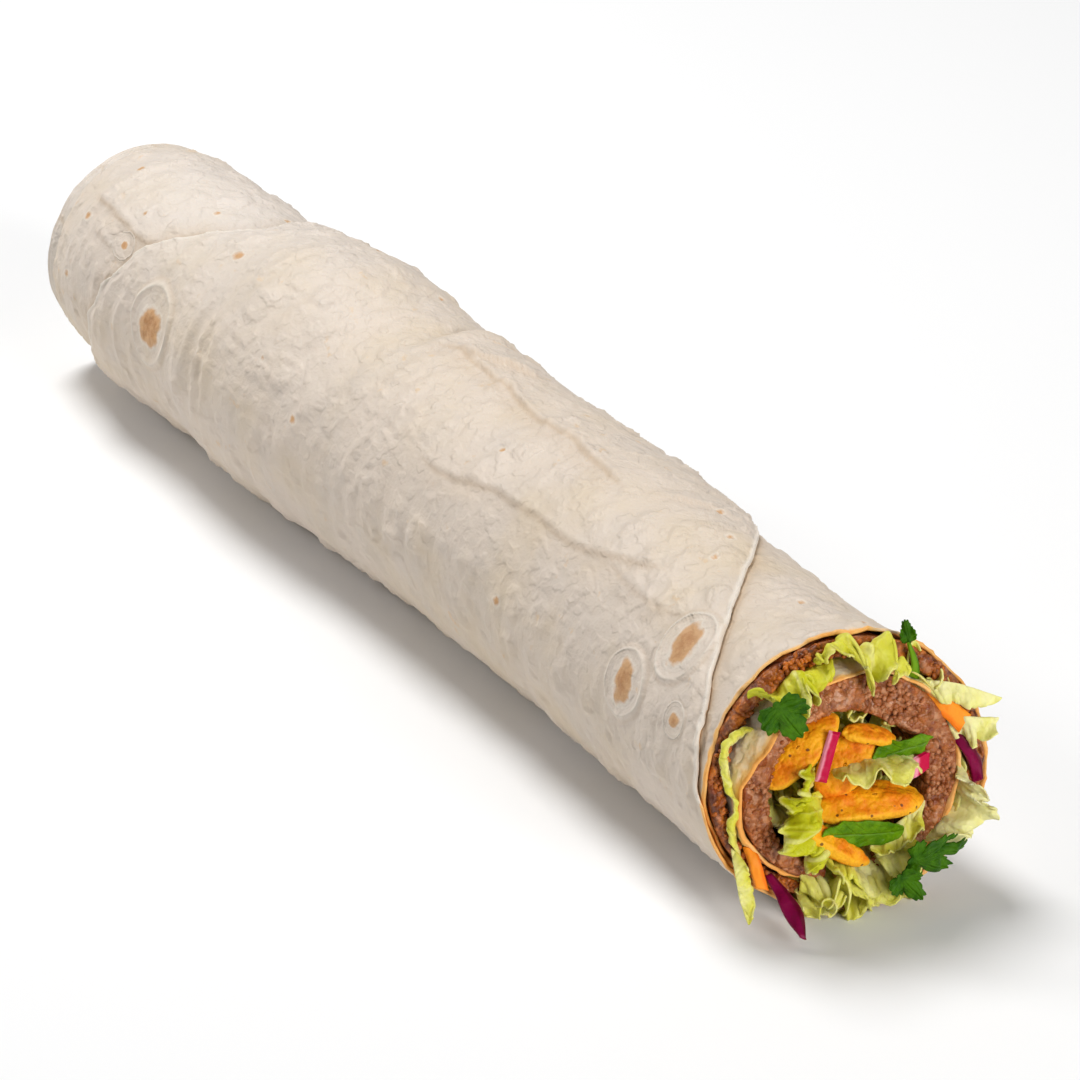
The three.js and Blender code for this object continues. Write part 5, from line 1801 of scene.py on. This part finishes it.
class WRAP_OT_strips(bpy.types.Operator):
    """Make the radish, carrot, red cabbage and stem strips"""

    bl_idname = "wrap.strips"
    bl_label = "Strips"

    def execute(self, context):
        salad = context.scene.wrap_salad
        radish, cabbage = (salad.radish_flesh, salad.radish), (salad.cabbage_flesh, salad.cabbage)
        finishes = {
            "radish": pickle_material("radish", *radish, 0.42, (300, 300, 900), 0.05),
            "carrot": pickle_material("carrot", salad.carrot_flesh, salad.carrot, 0.5, (600, 600, 200)),
            "red_cabbage": pickle_material("red_cabbage", *cabbage, 0.45, (300, 500, 200)),
            "herb": pickle_material("stem", salad.green_light, salad.green_dark, 0.35, (600, 600, 150)),
        }
        for seed, (node, (slot, thick, wave, lines)) in enumerate(STRIPS.items()):
            body = strip_body(lines, thick, 600 + 10 * seed, wave)
            new_piece(node + "_cut", body, finishes[slot], [node])
        return {"FINISHED"}


class WRAP_OT_stage(bpy.types.Operator):
    """Make the pale floor, the soft lights and the camera"""

    bl_idname = "wrap.stage"
    bl_label = "Stage"

    def execute(self, context):
        settings = context.scene.wrap_stage
        make_floor(settings)
        make_lights(context.scene, settings)
        make_camera(context.scene, settings)
        return {"FINISHED"}


FLOOR_HALF = 3.0  # half the floor's width, in metres


def make_floor(settings):
    """A wide flat floor at the roll's lowest point."""
    mesh = bpy.data.meshes.new("floor")
    a, level = FLOOR_HALF, CAD_BOX[0].z
    corners = [(-a, -a, level), (a, -a, level), (a, a, level), (-a, a, level)]
    mesh.from_pydata(corners, [], [(0, 1, 2, 3)])
    look = Look("floor", Roughness=0.9, Specular_IOR_Level=0.1)
    darker = [0.985 * value for value in settings.floor]
    look.feed(look.shader["Base Color"], look.blend(look.noise(3.0, 2.0), settings.floor, darker))
    mesh.materials.append(look.material)
    floor = bpy.data.objects.new("floor", mesh)
    bpy.context.scene.collection.objects.link(floor)


def place_facing(scene, name, data, place, facing):
    """Adds an object for a lamp or camera at a place, turned to face a direction."""
    holder = bpy.data.objects.new(name, data)
    holder.location = place
    holder.rotation_euler = facing.to_track_quat("-Z", "Y").to_euler()
    scene.collection.objects.link(holder)
    return holder


def make_lights(scene, settings):
    """A white sky, a wide lamp above, a small one that rakes the roll from its tucked end, and one that
    faces the open end."""
    world = bpy.data.worlds.new("studio")
    world.use_nodes = True
    background = world.node_tree.nodes["Background"].inputs
    background["Color"].default_value = (1, 1, 1, 1)
    background["Strength"].default_value = settings.sky
    scene.world = world
    for name, power, size, place in (
        ("key", settings.key, 0.45, (-0.42, -0.05, 1.0)),
        ("side", settings.side, 0.3, (-0.95, -0.8, 0.75)),
        ("fill", settings.fill, 0.6, (1.15, 0.1, 0.45)),
    ):
        lamp = bpy.data.lights.new(name, "AREA")
        lamp.shape = "DISK"
        lamp.size = size
        lamp.energy = power
        place_facing(scene, name, lamp, Vector(place), -Vector(place))


TARGET = np.array([11.6, 9.82, 15.0])  # what the camera looks at, in the roll's frame


def make_camera(scene, settings):
    """A long lens that looks at the roll from beside its open end."""
    target = Vector((TARGET + ORIGIN) * MM)
    a, e = settings.azimuth, settings.elevation
    back = Vector((math.sin(a) * math.cos(e), -math.cos(a) * math.cos(e), math.sin(e)))
    data = bpy.data.cameras.new("camera")
    data.lens = settings.lens
    data.sensor_width = 36
    data.clip_start = 0.01
    scene.camera = place_facing(scene, "camera", data, target + back * settings.distance, -back)
    scene.view_settings.view_transform = "Standard"


OPERATORS = (
    WRAP_OT_flatbread, WRAP_OT_paste, WRAP_OT_lettuce, WRAP_OT_herbs, WRAP_OT_chips, WRAP_OT_strips,
    WRAP_OT_stage,
)


class WRAP_PT_panel(bpy.types.Panel):
    """Lists the steps that make the wrap"""

    bl_idname = "WRAP_PT_panel"
    bl_label = "Cig kofte wrap"
    bl_space_type = "VIEW_3D"
    bl_region_type = "UI"
    bl_category = "Wrap"

    def draw(self, context):
        for operator in OPERATORS:
            self.layout.operator(operator.bl_idname)


GROUPS = {
    "wrap_bread": BreadSettings, "wrap_paste": PasteSettings, "wrap_salad": SaladSettings,
    "wrap_chips": ChipSettings, "wrap_stage": StageSettings,
}


def register():
    for cls in (*GROUPS.values(), *OPERATORS, WRAP_PT_panel):
        bpy.utils.register_class(cls)
    for name, group in GROUPS.items():
        setattr(bpy.types.Scene, name, PointerProperty(type=group))


def unregister():
    for name in GROUPS:
        delattr(bpy.types.Scene, name)
    for cls in reversed((*GROUPS.values(), *OPERATORS, WRAP_PT_panel)):
        bpy.utils.unregister_class(cls)


def main():
    register()
    for operator in OPERATORS:
        group, name = operator.bl_idname.split(".")
        getattr(getattr(bpy.ops, group), name)()


if __name__ == "__main__":
    main()
